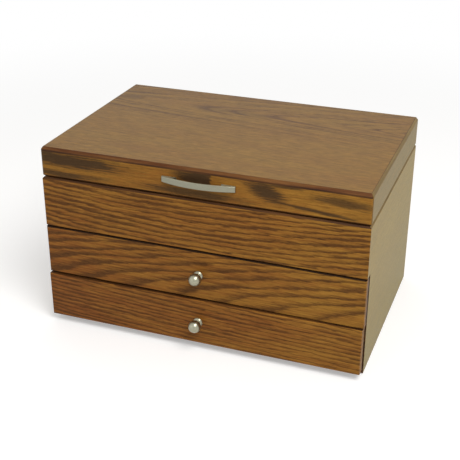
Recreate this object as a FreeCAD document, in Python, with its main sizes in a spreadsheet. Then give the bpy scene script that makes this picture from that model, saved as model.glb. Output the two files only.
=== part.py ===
import FreeCAD, Part
import os

import Sketcher

# A wooden ring box: a case with a hinged lid over a lined tray, and two drawers below it whose fronts
# lie over the case's front edge. Frame: X to the right, Y to the back, Z up, millimetres. The origin is
# on the surface that the box stands on, at the middle of the case's footprint.

SIZES = [
    ("case_width", 305, "outside of the side panels"),
    ("case_depth", 200, "front of the case to its back, without hinges and handles"),
    ("case_height", 178.1, "bottom of the side panels to the top of the closed lid"),
    ("panel_thickness", 12, "side, back and upper front panels, and the lid's rails"),
    ("top_chamfer", 1.5, "outer top edge of the case under the lid"),
    ("felt_thickness", 1, "felt sheet glued under the base"),
    ("felt_margin", 2, "felt set in from the case's outside"),
    ("base_thickness", 6, "base panel under the lower drawer"),
    ("shelf_thickness", 6, "shelf between the drawers"),
    ("tray_floor_thickness", 5, "floor of the top tray"),
    ("tray_floor_lift", 3, "tray floor above the upper front panel's lower edge"),
    ("housing_depth", 3, "grooves that take the shelf and the tray floor"),
    ("rebate_depth", 10, "side panels cut back where the drawer fronts lie"),
    ("base_reveal", 6, "lower drawer front above the case's bottom"),
    ("front_reveal", 1.2, "gap between one front and the next"),
    ("lower_front_height", 44.7, "face of the lower drawer"),
    ("upper_front_height", 47.5, "face of the upper drawer"),
    ("front_seat", 0.2, "drawer front to the case's front edge when shut"),
    ("front_round", 1.2, "rounded edges of the drawer fronts"),
    ("lower_front_inset", 0.6, "lower drawer front inside the case's width, each side"),
    ("upper_front_inset", 0.2, "upper drawer front inside the case's width, each side"),
    ("lower_ajar", 3.5, "how far the lower drawer stands open at rest"),
    ("upper_ajar", 1, "how far the upper drawer stands open at rest"),
    ("drawer_wall", 6, "sides, inner front and back of a drawer box"),
    ("drawer_bottom_thickness", 3, "bottom of a drawer box"),
    ("drawer_groove_lift", 3, "bottom groove above the drawer side's lower edge"),
    ("drawer_side_clearance", 0.5, "drawer box to the case's sides"),
    ("drawer_slide_clearance", 0.3, "drawer box above the panel that it slides on"),
    ("drawer_top_clearance", 1, "drawer box below the panel above it"),
    ("drawer_back_clearance", 1.5, "drawer box to the back panel when shut"),
    ("lining_thickness", 2, "velvet on board, on floors and tray walls"),
    ("lining_clearance", 0.3, "soft pieces to the walls beside them"),
    ("divider_thickness", 4, "velvet-covered dividers"),
    ("tray_divider_height", 30, "dividers of the top tray"),
    ("drawer_divider_height", 26, "divider of the lower drawer"),
    ("tray_lining_drop", 2.5, "wall lining below the case's top edge"),
    ("ring_section_depth", 115, "part of the top tray that holds ring rolls"),
    ("tray_roll_count", 5, "ring rolls in the top tray"),
    ("drawer_roll_count", 7, "ring rolls in the upper drawer"),
    ("roll_height", 20, "ring rolls, floor to crown"),
    ("roll_gap", 0.4, "slot between two ring rolls"),
    ("lid_height", 28.6, "lid's lower edge to its top"),
    ("lid_gap", 0.6, "lid above the case when shut"),
    ("lid_top_thickness", 9, "flat top of the lid"),
    ("lid_top_chamfer", 2.3, "outer top edge of the lid"),
    ("lid_lower_chamfer", 2, "outer lower edge of the lid"),
    ("lid_lining_thickness", 2, "velvet board under the lid's top"),
    ("lid_lining_margin", 3, "velvet board to the lid's rails"),
    ("mirror_width", 200, "mirror in the lid"),
    ("mirror_depth", 120, "mirror in the lid"),
    ("mirror_thickness", 3, "mirror in the lid"),
    ("mirror_bevel", 1.5, "ground edge of the mirror"),
    ("hinge_inset", 62.5, "outside of the case to the middle of a hinge"),
    ("hinge_length", 32, "one hinge along its pin"),
    ("hinge_leaf_reach", 9, "leaf from the case's back face inwards"),
    ("hinge_leaf_thickness", 1, "sheet of the hinge leaves"),
    ("hinge_knuckle_radius", 2.4, "outside of the rolled knuckles"),
    ("hinge_knuckle_length", 10, "the middle knuckle, on the lid's leaf"),
    ("hinge_knuckle_gap", 0.3, "between knuckles, and from them to the wood"),
    ("hinge_pin_radius", 1, "hinge pin"),
    ("hinge_pin_clearance", 0.05, "pin in its knuckles, on the radius"),
    ("hinge_screw_inset", 6, "end of a leaf to the middle of a screw"),
    ("hinge_screw_radius", 1, "shank of the hinge screws"),
    ("hinge_screw_head", 2, "countersunk head, on the radius"),
    ("hinge_screw_length", 7, "shank below the leaf"),
    ("screw_clearance", 0.05, "screws in their holes, on the radius"),
    ("pull_length", 67.6, "bow handle, end to end"),
    ("pull_offset", 1.1, "middle of the handle to the right of the lid's middle"),
    ("pull_height", 5.6, "bow handle, lower edge to upper edge"),
    ("pull_lift", 1.1, "middle of the handle above the middle of the lid's front"),
    ("pull_rise", 7.3, "front of the bow before the lid's face, at its middle"),
    ("pull_end_thickness", 1.7, "bow handle at its ends"),
    ("pull_strip", 1.6, "thickness of the bow"),
    ("pull_foot", 12, "solid foot at each end, on the lid's face"),
    ("machine_screw_radius", 1.5, "M3 screws of the handle and the knobs"),
    ("machine_screw_head", 2.75, "their heads, on the radius"),
    ("machine_head_height", 2, "their heads, from seat to top"),
    ("head_pocket_clearance", 0.3, "screw heads in their pockets"),
    ("pull_screw_bite", 2, "screw inside the foot of the handle"),
    ("knob_ball_radius", 5.8, "ball of a knob"),
    ("knob_ball_reach", 8.3, "middle of the ball before the drawer's face"),
    ("knob_neck_radius", 2.3, "neck between rose and ball"),
    ("knob_rose_radius", 4.6, "round foot of a knob"),
    ("knob_rose_rim", 0.8, "rim of the round foot"),
    ("knob_rose_cone", 1.8, "taper of the foot into the neck"),
    ("knob_screw_bite", 6, "screw inside the knob"),
]

doc = FreeCAD.newDocument("ring_box")
sheet = doc.addObject("Spreadsheet::Sheet", "sizes")
for row, (alias, value, meaning) in enumerate(SIZES, start=1):
    sheet.set("A%d" % row, alias)
    sheet.set("B%d" % row, str(value))
    sheet.set("C%d" % row, meaning)
    sheet.setAlias("B%d" % row, alias)
doc.recompute()

pieces = []
places = {}

# Turns that point a cylinder or a cone along an axis of the box
TURNS = {
    "up": FreeCAD.Rotation(),
    "down": FreeCAD.Rotation(FreeCAD.Vector(1, 0, 0), 180),
    "front": FreeCAD.Rotation(FreeCAD.Vector(1, 0, 0), 90),
    "right": FreeCAD.Rotation(FreeCAD.Vector(0, 1, 0), 90),
}
NEAR = 1e-4


def value_of(expression):
    """The number that an expression on the sheet's sizes gives."""
    return float(sheet.evalExpression(expression))


def put(item, place):
    """Tie an object's position to the sizes."""
    for axis, expression in zip("xyz", place):
        item.setExpression("Placement.Base." + axis, expression)


def keep(item, label):
    """Name a finished sub-part, which is then written to its own file."""
    item.Label = label
    pieces.append(item)
    return item


# Part primitives, booleans and groups


def box(name, low, size):
    item = doc.addObject("Part::Box", name)
    put(item, low)
    for side, expression in zip(("Length", "Width", "Height"), size):
        item.setExpression(side, expression)
    return item


def cylinder(name, base, turn, radius, height):
    item = doc.addObject("Part::Cylinder", name)
    item.Placement = FreeCAD.Placement(FreeCAD.Vector(), TURNS[turn])
    put(item, base)
    item.setExpression("Radius", radius)
    item.setExpression("Height", height)
    return item


def cone(name, base, turn, first, last, height):
    item = doc.addObject("Part::Cone", name)
    item.Placement = FreeCAD.Placement(FreeCAD.Vector(), TURNS[turn])
    put(item, base)
    item.setExpression("Radius1", first)
    item.setExpression("Radius2", last)
    item.setExpression("Height", height)
    return item


def sphere(name, centre, radius):
    item = doc.addObject("Part::Sphere", name)
    put(item, centre)
    item.setExpression("Radius", radius)
    return item


def fuse(name, shapes):
    item = doc.addObject("Part::MultiFuse", name)
    item.Shapes = shapes
    return item


def common(name, shapes):
    item = doc.addObject("Part::MultiCommon", name)
    item.Shapes = shapes
    return item


def cut(name, base, tool):
    item = doc.addObject("Part::Cut", name)
    item.Base = base
    item.Tool = tool
    return item


def group(name, shapes):
    item = doc.addObject("Part::Compound", name)
    item.Links = shapes
    return item


# PartDesign bodies. Positions are given in the box's frame and turned into the body's own.


def body_at(label, place):
    body = doc.addObject("PartDesign::Body", label)
    put(body, place)
    places[body.Name] = place
    return keep(body, label)


def inside(body, point):
    """A point of the box's frame, in the body's own frame."""
    return ["(%s) - (%s)" % (whole, start) for whole, start in zip(point, places[body.Name])]


def new_sketch(body, name, role):
    sketch = body.newObject("Sketcher::SketchObject", name)
    plane = next(item for item in body.Origin.OriginFeatures if item.Role == role)
    sketch.AttachmentSupport = (plane, [""])
    sketch.MapMode = "FlatFace"
    return sketch


def tie(sketch, kind, geometry, point, expression, name):
    """Hold one coordinate of a sketch point to the sizes."""
    number = sketch.addConstraint(
        Sketcher.Constraint(kind, -1, 1, geometry, point, value_of(expression))
    )
    sketch.renameConstraint(number, name)
    sketch.setExpression("Constraints." + name, expression)


def plan_pad(body, name, corners, low, height):
    """A prism: a closed outline in plan, raised from one level by a height."""
    sketch = new_sketch(body, name + "_outline", "XY_Plane")
    own = [inside(body, (x, y, low)) for x, y in corners]
    sketch.setExpression("AttachmentOffset.Base.z", own[0][2])
    points = [FreeCAD.Vector(value_of(x), value_of(y), 0) for x, y, _ in own]
    count = len(points)
    for number in range(count):
        line = Part.LineSegment(points[number], points[(number + 1) % count])
        sketch.addGeometry(line, False)
    for number in range(count):
        sketch.addConstraint(Sketcher.Constraint("Coincident", number, 2, (number + 1) % count, 1))
    for number, (x, y, _) in enumerate(own):
        tie(sketch, "DistanceX", number, 1, x, "corner%d_x" % number)
        tie(sketch, "DistanceY", number, 1, y, "corner%d_y" % number)
    pad = body.newObject("PartDesign::Pad", name)
    pad.Profile = sketch
    pad.setExpression("Length", height)
    return pad


def rectangle(low, size):
    """Corners in plan of a board with its low corner and its size."""
    right = "(%s) + (%s)" % (low[0], size[0])
    back = "(%s) + (%s)" % (low[1], size[1])
    return [(low[0], low[1]), (right, low[1]), (right, back), (low[0], back)]


def board(label, low, size):
    body = body_at(label, low)
    plan_pad(body, label + "_pad", rectangle(low, size), low[2], size[2])
    return body


def cut_box(body, name, low, size):
    feature = body.newObject("PartDesign::SubtractiveBox", name)
    put(feature, inside(body, low))
    for side, expression in zip(("Length", "Width", "Height"), size):
        feature.setExpression(side, expression)


def cut_round(body, name, base, turn, radius, height):
    feature = body.newObject("PartDesign::SubtractiveCylinder", name)
    feature.Placement = FreeCAD.Placement(FreeCAD.Vector(), TURNS[turn])
    put(feature, inside(body, base))
    feature.setExpression("Radius", radius)
    feature.setExpression("Height", height)


def ease_edges(body, kind, amount, plane_tests):
    """Chamfer or Fillet the edges that lie in all the given planes, or in any of several sets of them."""
    doc.recompute()
    tip = body.Tip
    chosen = []
    for number, edge in enumerate(tip.Shape.Edges, start=1):
        limits = edge.BoundBox
        for planes in plane_tests:
            spans = [(getattr(limits, axis + "Min"), getattr(limits, axis + "Max")) for axis, _ in planes]
            levels = [value_of(level) for _, level in planes]
            flat = [abs(a - z) < NEAR and abs(b - z) < NEAR for (a, b), z in zip(spans, levels)]
            if all(flat):
                chosen.append("Edge%d" % number)
                break
    feature = body.newObject("PartDesign::" + kind, body.Name + "_" + kind.lower())
    feature.Base = (tip, chosen)
    feature.setExpression({"Chamfer": "Size", "Fillet": "Radius"}[kind], amount)


# Planes and levels that the pieces share, from the sizes

left = "(-sizes.case_width / 2)"
right = "(sizes.case_width / 2)"
front = "(-sizes.case_depth / 2)"
back = "(sizes.case_depth / 2)"
wall = "sizes.panel_thickness"
inner_left = f"({left} + {wall})"
inner_right = f"({right} - {wall})"
inner_front = f"({front} + {wall})"
inner_back = f"({back} - {wall})"
inner_width = f"({inner_right} - {inner_left})"
inner_depth = f"({inner_back} - {inner_front})"
drawer_plane = f"({front} + sizes.rebate_depth)"

case_bottom = "sizes.felt_thickness"
lower_front_low = f"({case_bottom} + sizes.base_reveal)"
lower_front_high = f"({lower_front_low} + sizes.lower_front_height)"
upper_front_low = f"({lower_front_high} + sizes.front_reveal)"
upper_front_high = f"({upper_front_low} + sizes.upper_front_height)"
tray_front_low = f"({upper_front_high} + sizes.front_reveal)"
lid_top = f"({case_bottom} + sizes.case_height)"
lid_bottom = f"({lid_top} - sizes.lid_height)"
case_top = f"({lid_bottom} - sizes.lid_gap)"
base_top = f"({case_bottom} + sizes.base_thickness)"
shelf_low = f"({lower_front_high} + sizes.front_reveal / 2 - sizes.shelf_thickness / 2)"
shelf_top = f"({shelf_low} + sizes.shelf_thickness)"
tray_floor_low = f"({tray_front_low} + sizes.tray_floor_lift)"
tray_floor_top = f"({tray_floor_low} + sizes.tray_floor_thickness)"
tray_lining_top = f"({tray_floor_top} + sizes.lining_thickness)"


# Case


def side_panel(label, outer, inner):
    """Full board below, set back for the drawer fronts, and mitred to the front panel above."""
    low_x = outer if label.startswith("left") else inner
    body = body_at(label, (low_x, front, case_bottom))
    lower_outline = [(outer, drawer_plane), (inner, drawer_plane), (inner, back), (outer, back)]
    upper_outline = [(outer, front), (inner, inner_front), (inner, back), (outer, back)]
    plan_pad(body, label + "_lower", lower_outline, case_bottom, f"{tray_front_low} - {case_bottom}")
    plan_pad(body, label + "_upper", upper_outline, tray_front_low, f"{case_top} - {tray_front_low}")
    groove_x = f"({inner_left} - sizes.housing_depth)" if outer == left else inner_right
    shelf_run = f"{inner_back} - {drawer_plane}"
    cut_box(body, label + "_shelf_groove", (groove_x, drawer_plane, shelf_low),
            ("sizes.housing_depth", shelf_run, "sizes.shelf_thickness"))
    cut_box(body, label + "_floor_groove",
            (groove_x, f"{inner_front} - sizes.housing_depth", tray_floor_low),
            ("sizes.housing_depth", f"{inner_depth} + 2 * sizes.housing_depth", "sizes.tray_floor_thickness"))
    own_outer, _, own_top = inside(body, (outer, front, case_top))
    ease_edges(body, "Chamfer", "sizes.top_chamfer", [[("X", own_outer), ("Z", own_top)]])


side_panel("left_side_panel", left, inner_left)
side_panel("right_side_panel", right, inner_right)

upper_front = body_at("upper_front_panel", (left, front, tray_front_low))
plan_pad(upper_front, "upper_front_pad",
         [(left, front), (right, front), (inner_right, inner_front), (inner_left, inner_front)],
         tray_front_low, f"{case_top} - {tray_front_low}")
cut_box(upper_front, "upper_front_floor_groove",
        (f"{inner_left} - sizes.housing_depth", f"{inner_front} - sizes.housing_depth", tray_floor_low),
        (f"{inner_width} + 2 * sizes.housing_depth", "sizes.housing_depth", "sizes.tray_floor_thickness"))
_, upper_front_face, upper_front_top = inside(upper_front, (left, front, case_top))
ease_edges(upper_front, "Chamfer", "sizes.top_chamfer", [[("Y", upper_front_face), ("Z", upper_front_top)]])

back_panel = board("back_panel", (inner_left, inner_back, case_bottom),
                   (inner_width, wall, f"{case_top} - {case_bottom}"))
cut_box(back_panel, "back_floor_groove", (inner_left, inner_back, tray_floor_low),
        (inner_width, "sizes.housing_depth", "sizes.tray_floor_thickness"))
_, back_face, back_top = inside(back_panel, (left, back, case_top))
ease_edges(back_panel, "Chamfer", "sizes.top_chamfer", [[("Y", back_face), ("Z", back_top)]])

board("base_panel", (inner_left, drawer_plane, case_bottom),
      (inner_width, f"{inner_back} - {drawer_plane}", "sizes.base_thickness"))
board("drawer_shelf", (f"{inner_left} - sizes.housing_depth", drawer_plane, shelf_low),
      (f"{inner_width} + 2 * sizes.housing_depth", f"{inner_back} - {drawer_plane}", "sizes.shelf_thickness"))
board("tray_floor",
      (f"{inner_left} - sizes.housing_depth", f"{inner_front} - sizes.housing_depth", tray_floor_low),
      (f"{inner_width} + 2 * sizes.housing_depth", f"{inner_depth} + 2 * sizes.housing_depth",
       "sizes.tray_floor_thickness"))
board("base_felt",
      (f"{left} + sizes.felt_margin", f"{drawer_plane} + sizes.felt_margin", "0"),
      ("sizes.case_width - 2 * sizes.felt_margin",
       "sizes.case_depth - sizes.rebate_depth - 2 * sizes.felt_margin", "sizes.felt_thickness"))


# Lining, dividers and ring rolls

lining = "sizes.lining_thickness"
slack = "sizes.lining_clearance"
lined_left = f"({inner_left} + {lining})"
lined_right = f"({inner_right} - {lining})"
lined_front = f"({inner_front} + {lining})"
lined_back = f"({inner_back} - {lining})"
lined_width = f"({lined_right} - {lined_left})"


def tray_lining():
    """A lined board on the floor, and four on the walls that stand on it."""
    board("tray_floor_lining", (inner_left, inner_front, tray_floor_top), (inner_width, inner_depth, lining))
    rise = f"({case_top} - sizes.tray_lining_drop - {tray_lining_top})"
    long_size = (inner_width, lining, rise)
    short_size = (lining, f"{lined_back} - {lined_front}", rise)
    walls = [
        box("tray_front_wall_lining", (inner_left, inner_front, tray_lining_top), long_size),
        box("tray_back_wall_lining", (inner_left, lined_back, tray_lining_top), long_size),
        box("tray_left_wall_lining", (inner_left, lined_front, tray_lining_top), short_size),
        box("tray_right_wall_lining", (lined_right, lined_front, tray_lining_top), short_size),
    ]
    keep(group("tray_wall_linings", walls), "tray_wall_lining")


def ring_roll(label, length, start, width, floor):
    """A stuffed roll that lies on the floor: upright sides under a half-round crown."""
    body = body_at(label, (f"-({length}) / 2", start, floor))
    sketch = new_sketch(body, label + "_section", "YZ_Plane")
    shoulder = f"sizes.roll_height - ({width}) / 2"
    radius = value_of(width) / 2
    rise = value_of(shoulder)
    lower_front = FreeCAD.Vector(0, 0, 0)
    lower_back = FreeCAD.Vector(2 * radius, 0, 0)
    upper_back = FreeCAD.Vector(2 * radius, rise, 0)
    crown = FreeCAD.Vector(radius, rise + radius, 0)
    upper_front_edge = FreeCAD.Vector(0, rise, 0)
    sketch.addGeometry(Part.LineSegment(lower_front, lower_back), False)
    sketch.addGeometry(Part.LineSegment(lower_back, upper_back), False)
    sketch.addGeometry(Part.Arc(upper_back, crown, upper_front_edge), False)
    sketch.addGeometry(Part.LineSegment(upper_front_edge, lower_front), False)
    corners = [(0, "0", "0"), (1, width, "0"), (2, width, shoulder), (3, "0", shoulder)]
    for number in range(len(corners)):
        following = (number + 1) % len(corners)
        sketch.addConstraint(Sketcher.Constraint("Coincident", number, 2, following, 1))
    for number, x, y in corners:
        tie(sketch, "DistanceX", number, 1, x, "corner%d_x" % number)
        tie(sketch, "DistanceY", number, 1, y, "corner%d_y" % number)
    tie(sketch, "DistanceY", 2, 3, shoulder, "crown_centre")
    pad = body.newObject("PartDesign::Pad", label + "_pad")
    pad.Profile = sketch
    pad.setExpression("Length", length)


def row_of_rolls(prefix, count_name, start, depth, length, floor):
    """Rolls side by side, filling the depth from front to back."""
    pitch = f"(({depth} - sizes.roll_gap) / sizes.{count_name})"
    width = f"({pitch} - sizes.roll_gap)"
    for number in range(round(value_of("sizes." + count_name))):
        roll_start = f"{start} + sizes.roll_gap + {number} * {pitch}"
        ring_roll(f"{prefix}_{number + 1}", length, roll_start, width, floor)


tray_lining()
divider_front = f"({lined_front} + sizes.ring_section_depth)"
divider_back = f"({divider_front} + sizes.divider_thickness)"
board("tray_long_divider", (f"{lined_left} + {slack}", divider_front, tray_lining_top),
      (f"{lined_width} - 2 * {slack}", "sizes.divider_thickness", "sizes.tray_divider_height"))
board("tray_cross_divider", ("-sizes.divider_thickness / 2", divider_back, tray_lining_top),
      ("sizes.divider_thickness", f"{lined_back} - {divider_back}", "sizes.tray_divider_height"))
row_of_rolls("tray_ring_roll", "tray_roll_count", lined_front, "sizes.ring_section_depth",
             f"({lined_width} - 2 * {slack})", tray_lining_top)


# Lid


def lid_rail(label, outline, low_corner, outer_plane):
    """A mitred rail under the lid's top, with its outer lower edge chamfered."""
    body = body_at(label, low_corner)
    height = "sizes.lid_height - sizes.lid_top_thickness"
    plan_pad(body, label + "_pad", outline, lid_bottom, height)
    axis, level = outer_plane
    own_level = inside(body, (level, level, lid_bottom))["XY".index(axis)]
    ease_edges(body, "Chamfer", "sizes.lid_lower_chamfer", [[(axis, own_level), ("Z", "0")]])
    return body


lid_board = board("lid_top_panel", (left, front, f"{lid_top} - sizes.lid_top_thickness"),
                  ("sizes.case_width", "sizes.case_depth", "sizes.lid_top_thickness"))
top_level = ("Z", "sizes.lid_top_thickness")
ease_edges(lid_board, "Chamfer", "sizes.lid_top_chamfer", [[top_level]])

lid_front = lid_rail(
    "lid_front_rail",
    [(left, front), (right, front), (inner_right, inner_front), (inner_left, inner_front)],
    (left, front, lid_bottom), ("Y", front))
lid_back = lid_rail(
    "lid_back_rail",
    [(inner_left, inner_back), (inner_right, inner_back), (right, back), (left, back)],
    (left, inner_back, lid_bottom), ("Y", back))
lid_rail(
    "lid_left_rail",
    [(left, front), (inner_left, inner_front), (inner_left, inner_back), (left, back)],
    (left, front, lid_bottom), ("X", left))
lid_rail(
    "lid_right_rail",
    [(inner_right, inner_front), (right, front), (right, back), (inner_right, inner_back)],
    (inner_right, front, lid_bottom), ("X", right))

lid_lining_low = f"({lid_top} - sizes.lid_top_thickness - sizes.lid_lining_thickness)"
board("lid_lining",
      (f"{inner_left} + sizes.lid_lining_margin", f"{inner_front} + sizes.lid_lining_margin", lid_lining_low),
      (f"{inner_width} - 2 * sizes.lid_lining_margin", f"{inner_depth} - 2 * sizes.lid_lining_margin",
       "sizes.lid_lining_thickness"))
mirror = board("lid_mirror",
               ("-sizes.mirror_width / 2", "-sizes.mirror_depth / 2",
                f"{lid_lining_low} - sizes.mirror_thickness"),
               ("sizes.mirror_width", "sizes.mirror_depth", "sizes.mirror_thickness"))
ease_edges(mirror, "Chamfer", "sizes.mirror_bevel", [[("Z", "0")]])


# Handle of the lid and its two screws

pull_middle = f"(({lid_bottom} + {lid_top}) / 2 + sizes.pull_lift)"
pull_low = f"({pull_middle} - sizes.pull_height / 2)"
pull_sag = "(sizes.pull_rise - sizes.pull_end_thickness)"
pull_outer_radius = f"(((sizes.pull_length / 2) ^ 2 + {pull_sag} ^ 2) / (2 * {pull_sag}))"
pull_arc_centre = f"({front} - sizes.pull_rise + {pull_outer_radius})"
pull_screw_x = "(sizes.pull_length / 2 - sizes.pull_foot / 2)"
bore = "(sizes.machine_screw_radius + sizes.screw_clearance)"
head_pocket = "(sizes.machine_screw_head + sizes.head_pocket_clearance)"
head_pocket_depth = "(sizes.machine_head_height + sizes.head_pocket_clearance)"


def bow(name, radius, reach):
    """The part of an upright cylinder in front of the lid's face, within a reach to each side."""
    round_part = cylinder(name + "_round", ("sizes.pull_offset", pull_arc_centre, pull_low), "up",
                          radius, "sizes.pull_height")
    window = box(name + "_window", (f"sizes.pull_offset - ({reach})", f"{front} - sizes.pull_rise", pull_low),
                 (f"2 * ({reach})", "sizes.pull_rise", "sizes.pull_height"))
    return common(name, [round_part, window])


def lid_pull():
    """A flat bow between two solid feet, each drilled for its screw."""
    whole = bow("pull_bow", pull_outer_radius, "sizes.pull_length / 2")
    gap = bow("pull_gap", f"{pull_outer_radius} - sizes.pull_strip",
              "sizes.pull_length / 2 - sizes.pull_foot")
    holes = [
        cylinder("pull_hole_" + side, (f"sizes.pull_offset {sign} {pull_screw_x}", front, pull_middle), "front", bore,
                 "sizes.pull_screw_bite + sizes.screw_clearance")
        for side, sign in (("left", "-"), ("right", "+"))
    ]
    keep(cut("lid_pull_drilled", whole, fuse("pull_tools", [gap] + holes)), "lid_pull")


def machine_screw(name, x, seat_y, z, length):
    """A pan-head screw that points to the front, its head seated at seat_y."""
    shank = cylinder(name + "_shank", (x, seat_y, z), "front", "sizes.machine_screw_radius", length)
    head = cylinder(name + "_head", (x, f"{seat_y} + sizes.machine_head_height", z), "front",
                    "sizes.machine_screw_head", "sizes.machine_head_height")
    return fuse(name, [shank, head])


def drill_for_screw(body, name, x, inner_face, z, thickness):
    """A through hole, with a pocket for the head in the inner face."""
    cut_round(body, name + "_bore", (x, inner_face, z), "front", bore, thickness)
    cut_round(body, name + "_pocket", (x, inner_face, z), "front", head_pocket, head_pocket_depth)


lid_pull()
pull_screw_seat = f"({inner_front} - {head_pocket_depth})"
pull_screw_length = f"({pull_screw_seat} - {front} + sizes.pull_screw_bite)"
pull_screws = []
for side_name, sign in (("left", "-"), ("right", "+")):
    screw_x = f"(sizes.pull_offset {sign} {pull_screw_x})"
    drill_for_screw(lid_front, "pull_" + side_name, screw_x, inner_front, pull_middle, wall)
    pull_screws.append(
        machine_screw("pull_screw_" + side_name, screw_x, pull_screw_seat, pull_middle, pull_screw_length))
keep(group("pull_screw_pair", pull_screws), "lid_pull_screws")


# Hinges. The pin lies just behind the back face, level with the middle of the lid's gap.

hinge_y = f"({back} + sizes.hinge_knuckle_radius + sizes.hinge_knuckle_gap)"
hinge_z = f"(({case_top} + {lid_bottom}) / 2)"
leaf = "sizes.hinge_leaf_thickness"
knuckle_wall = "(sizes.hinge_knuckle_radius - sizes.hinge_pin_radius) / 2"
tab_reach = f"({hinge_y} - {back} - sizes.hinge_pin_radius - {knuckle_wall} / 2)"
outer_knuckle = "((sizes.hinge_length - sizes.hinge_knuckle_length) / 2 - sizes.hinge_knuckle_gap)"


def knuckle(name, start_x, length, leaf_low):
    """A rolled knuckle and the strip that joins it to its leaf."""
    barrel = cylinder(name + "_barrel", (start_x, hinge_y, hinge_z), "right",
                      "sizes.hinge_knuckle_radius", length)
    strip = box(name + "_strip", (start_x, back, leaf_low), (length, tab_reach, leaf))
    return [barrel, strip]


def hinge_leaf(label, middle, leaf_low, head_level, turn, knuckles):
    """A leaf let into the wood, with countersunk holes and its knuckles bored for the pin."""
    start = f"{middle} - sizes.hinge_length / 2"
    plate = box(label + "_plate", (start, f"{back} - sizes.hinge_leaf_reach", leaf_low),
                ("sizes.hinge_length", "sizes.hinge_leaf_reach", leaf))
    solids = [plate]
    for number, (knuckle_start, length) in enumerate(knuckles):
        solids += knuckle(f"{label}_knuckle_{number}", knuckle_start, length, leaf_low)
    pin_bore = cylinder(label + "_bore", (start, hinge_y, hinge_z), "right",
                        "sizes.hinge_pin_radius + sizes.hinge_pin_clearance", "sizes.hinge_length")
    tools = [pin_bore]
    for number, x in enumerate(screw_places(middle)):
        tools.append(cone(f"{label}_countersink_{number}", (x, screw_y, head_level), turn,
                          "sizes.hinge_screw_head + sizes.screw_clearance",
                          "sizes.hinge_screw_radius + sizes.screw_clearance", leaf))
    keep(cut(label + "_bored", fuse(label + "_blank", solids), fuse(label + "_tools", tools)), label)


def screw_places(middle):
    reach = "(sizes.hinge_length / 2 - sizes.hinge_screw_inset)"
    return [f"{middle} - {reach}", f"{middle} + {reach}"]


screw_y = f"({back} - sizes.hinge_leaf_reach / 2)"


def wood_screw(name, x, head_level, turn):
    head = cone(name + "_head", (x, screw_y, head_level), turn,
                "sizes.hinge_screw_head", "sizes.hinge_screw_radius", leaf)
    shank = cylinder(name + "_shank", (x, screw_y, head_level), turn,
                     "sizes.hinge_screw_radius", f"{leaf} + sizes.hinge_screw_length")
    return fuse(name, [head, shank])


def let_in_leaf(body, name, middle, leaf_low, head_level, turn):
    """A shallow recess for the leaf, and holes for its screws."""
    cut_box(body, name + "_recess",
            (f"{middle} - sizes.hinge_length / 2", f"{back} - sizes.hinge_leaf_reach", leaf_low),
            ("sizes.hinge_length", "sizes.hinge_leaf_reach", leaf))
    for number, x in enumerate(screw_places(middle)):
        cut_round(body, f"{name}_hole_{number}", (x, screw_y, head_level), turn,
                  "sizes.hinge_screw_radius + sizes.screw_clearance",
                  f"{leaf} + sizes.hinge_screw_length + sizes.screw_clearance")


case_screws = []
lid_screws = []
pins = []
for side_name, sign in (("left", "-"), ("right", "")):
    middle_x = f"({sign}(sizes.case_width / 2 - sizes.hinge_inset))"
    start_x = f"({middle_x} - sizes.hinge_length / 2)"
    last_start = f"({middle_x} + sizes.hinge_length / 2 - {outer_knuckle})"
    centre_start = f"({middle_x} - sizes.hinge_knuckle_length / 2)"
    case_leaf_low = f"({case_top} - {leaf})"
    hinge_leaf(side_name + "_hinge_case_leaf", middle_x, case_leaf_low, case_top, "down",
               [(start_x, outer_knuckle), (last_start, outer_knuckle)])
    hinge_leaf(side_name + "_hinge_lid_leaf", middle_x, lid_bottom, lid_bottom, "up",
               [(centre_start, "sizes.hinge_knuckle_length")])
    pins.append(cylinder(side_name + "_pin", (start_x, hinge_y, hinge_z), "right",
                         "sizes.hinge_pin_radius", "sizes.hinge_length"))
    let_in_leaf(back_panel, side_name + "_case_leaf", middle_x, case_leaf_low, case_top, "down")
    let_in_leaf(lid_back, side_name + "_lid_leaf", middle_x, lid_bottom, lid_bottom, "up")
    for number, x in enumerate(screw_places(middle_x)):
        case_screws.append(wood_screw(f"{side_name}_case_screw_{number}", x, case_top, "down"))
        lid_screws.append(wood_screw(f"{side_name}_lid_screw_{number}", x, lid_bottom, "up"))
keep(group("pin_pair", pins), "hinge_pins")
keep(group("case_screw_set", case_screws), "case_hinge_screws")
keep(group("lid_screw_set", lid_screws), "lid_hinge_screws")


# Drawers


def knob(label, face, z):
    """A ball on a short neck that flares into a round foot."""
    rim = cylinder(label + "_rim", ("0", face, z), "front", "sizes.knob_rose_radius", "sizes.knob_rose_rim")
    flare = cone(label + "_flare", ("0", f"{face} - sizes.knob_rose_rim", z), "front",
                 "sizes.knob_rose_radius", "sizes.knob_neck_radius", "sizes.knob_rose_cone")
    neck = cylinder(label + "_neck", ("0", face, z), "front",
                    "sizes.knob_neck_radius", "sizes.knob_ball_reach")
    ball = sphere(label + "_ball", ("0", f"{face} - sizes.knob_ball_reach", z), "sizes.knob_ball_radius")
    hole = cylinder(label + "_hole", ("0", face, z), "front", bore,
                    "sizes.knob_screw_bite + sizes.screw_clearance")
    keep(cut(label + "_drilled", fuse(label + "_turned", [rim, flare, neck, ball]), hole), label)


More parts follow.
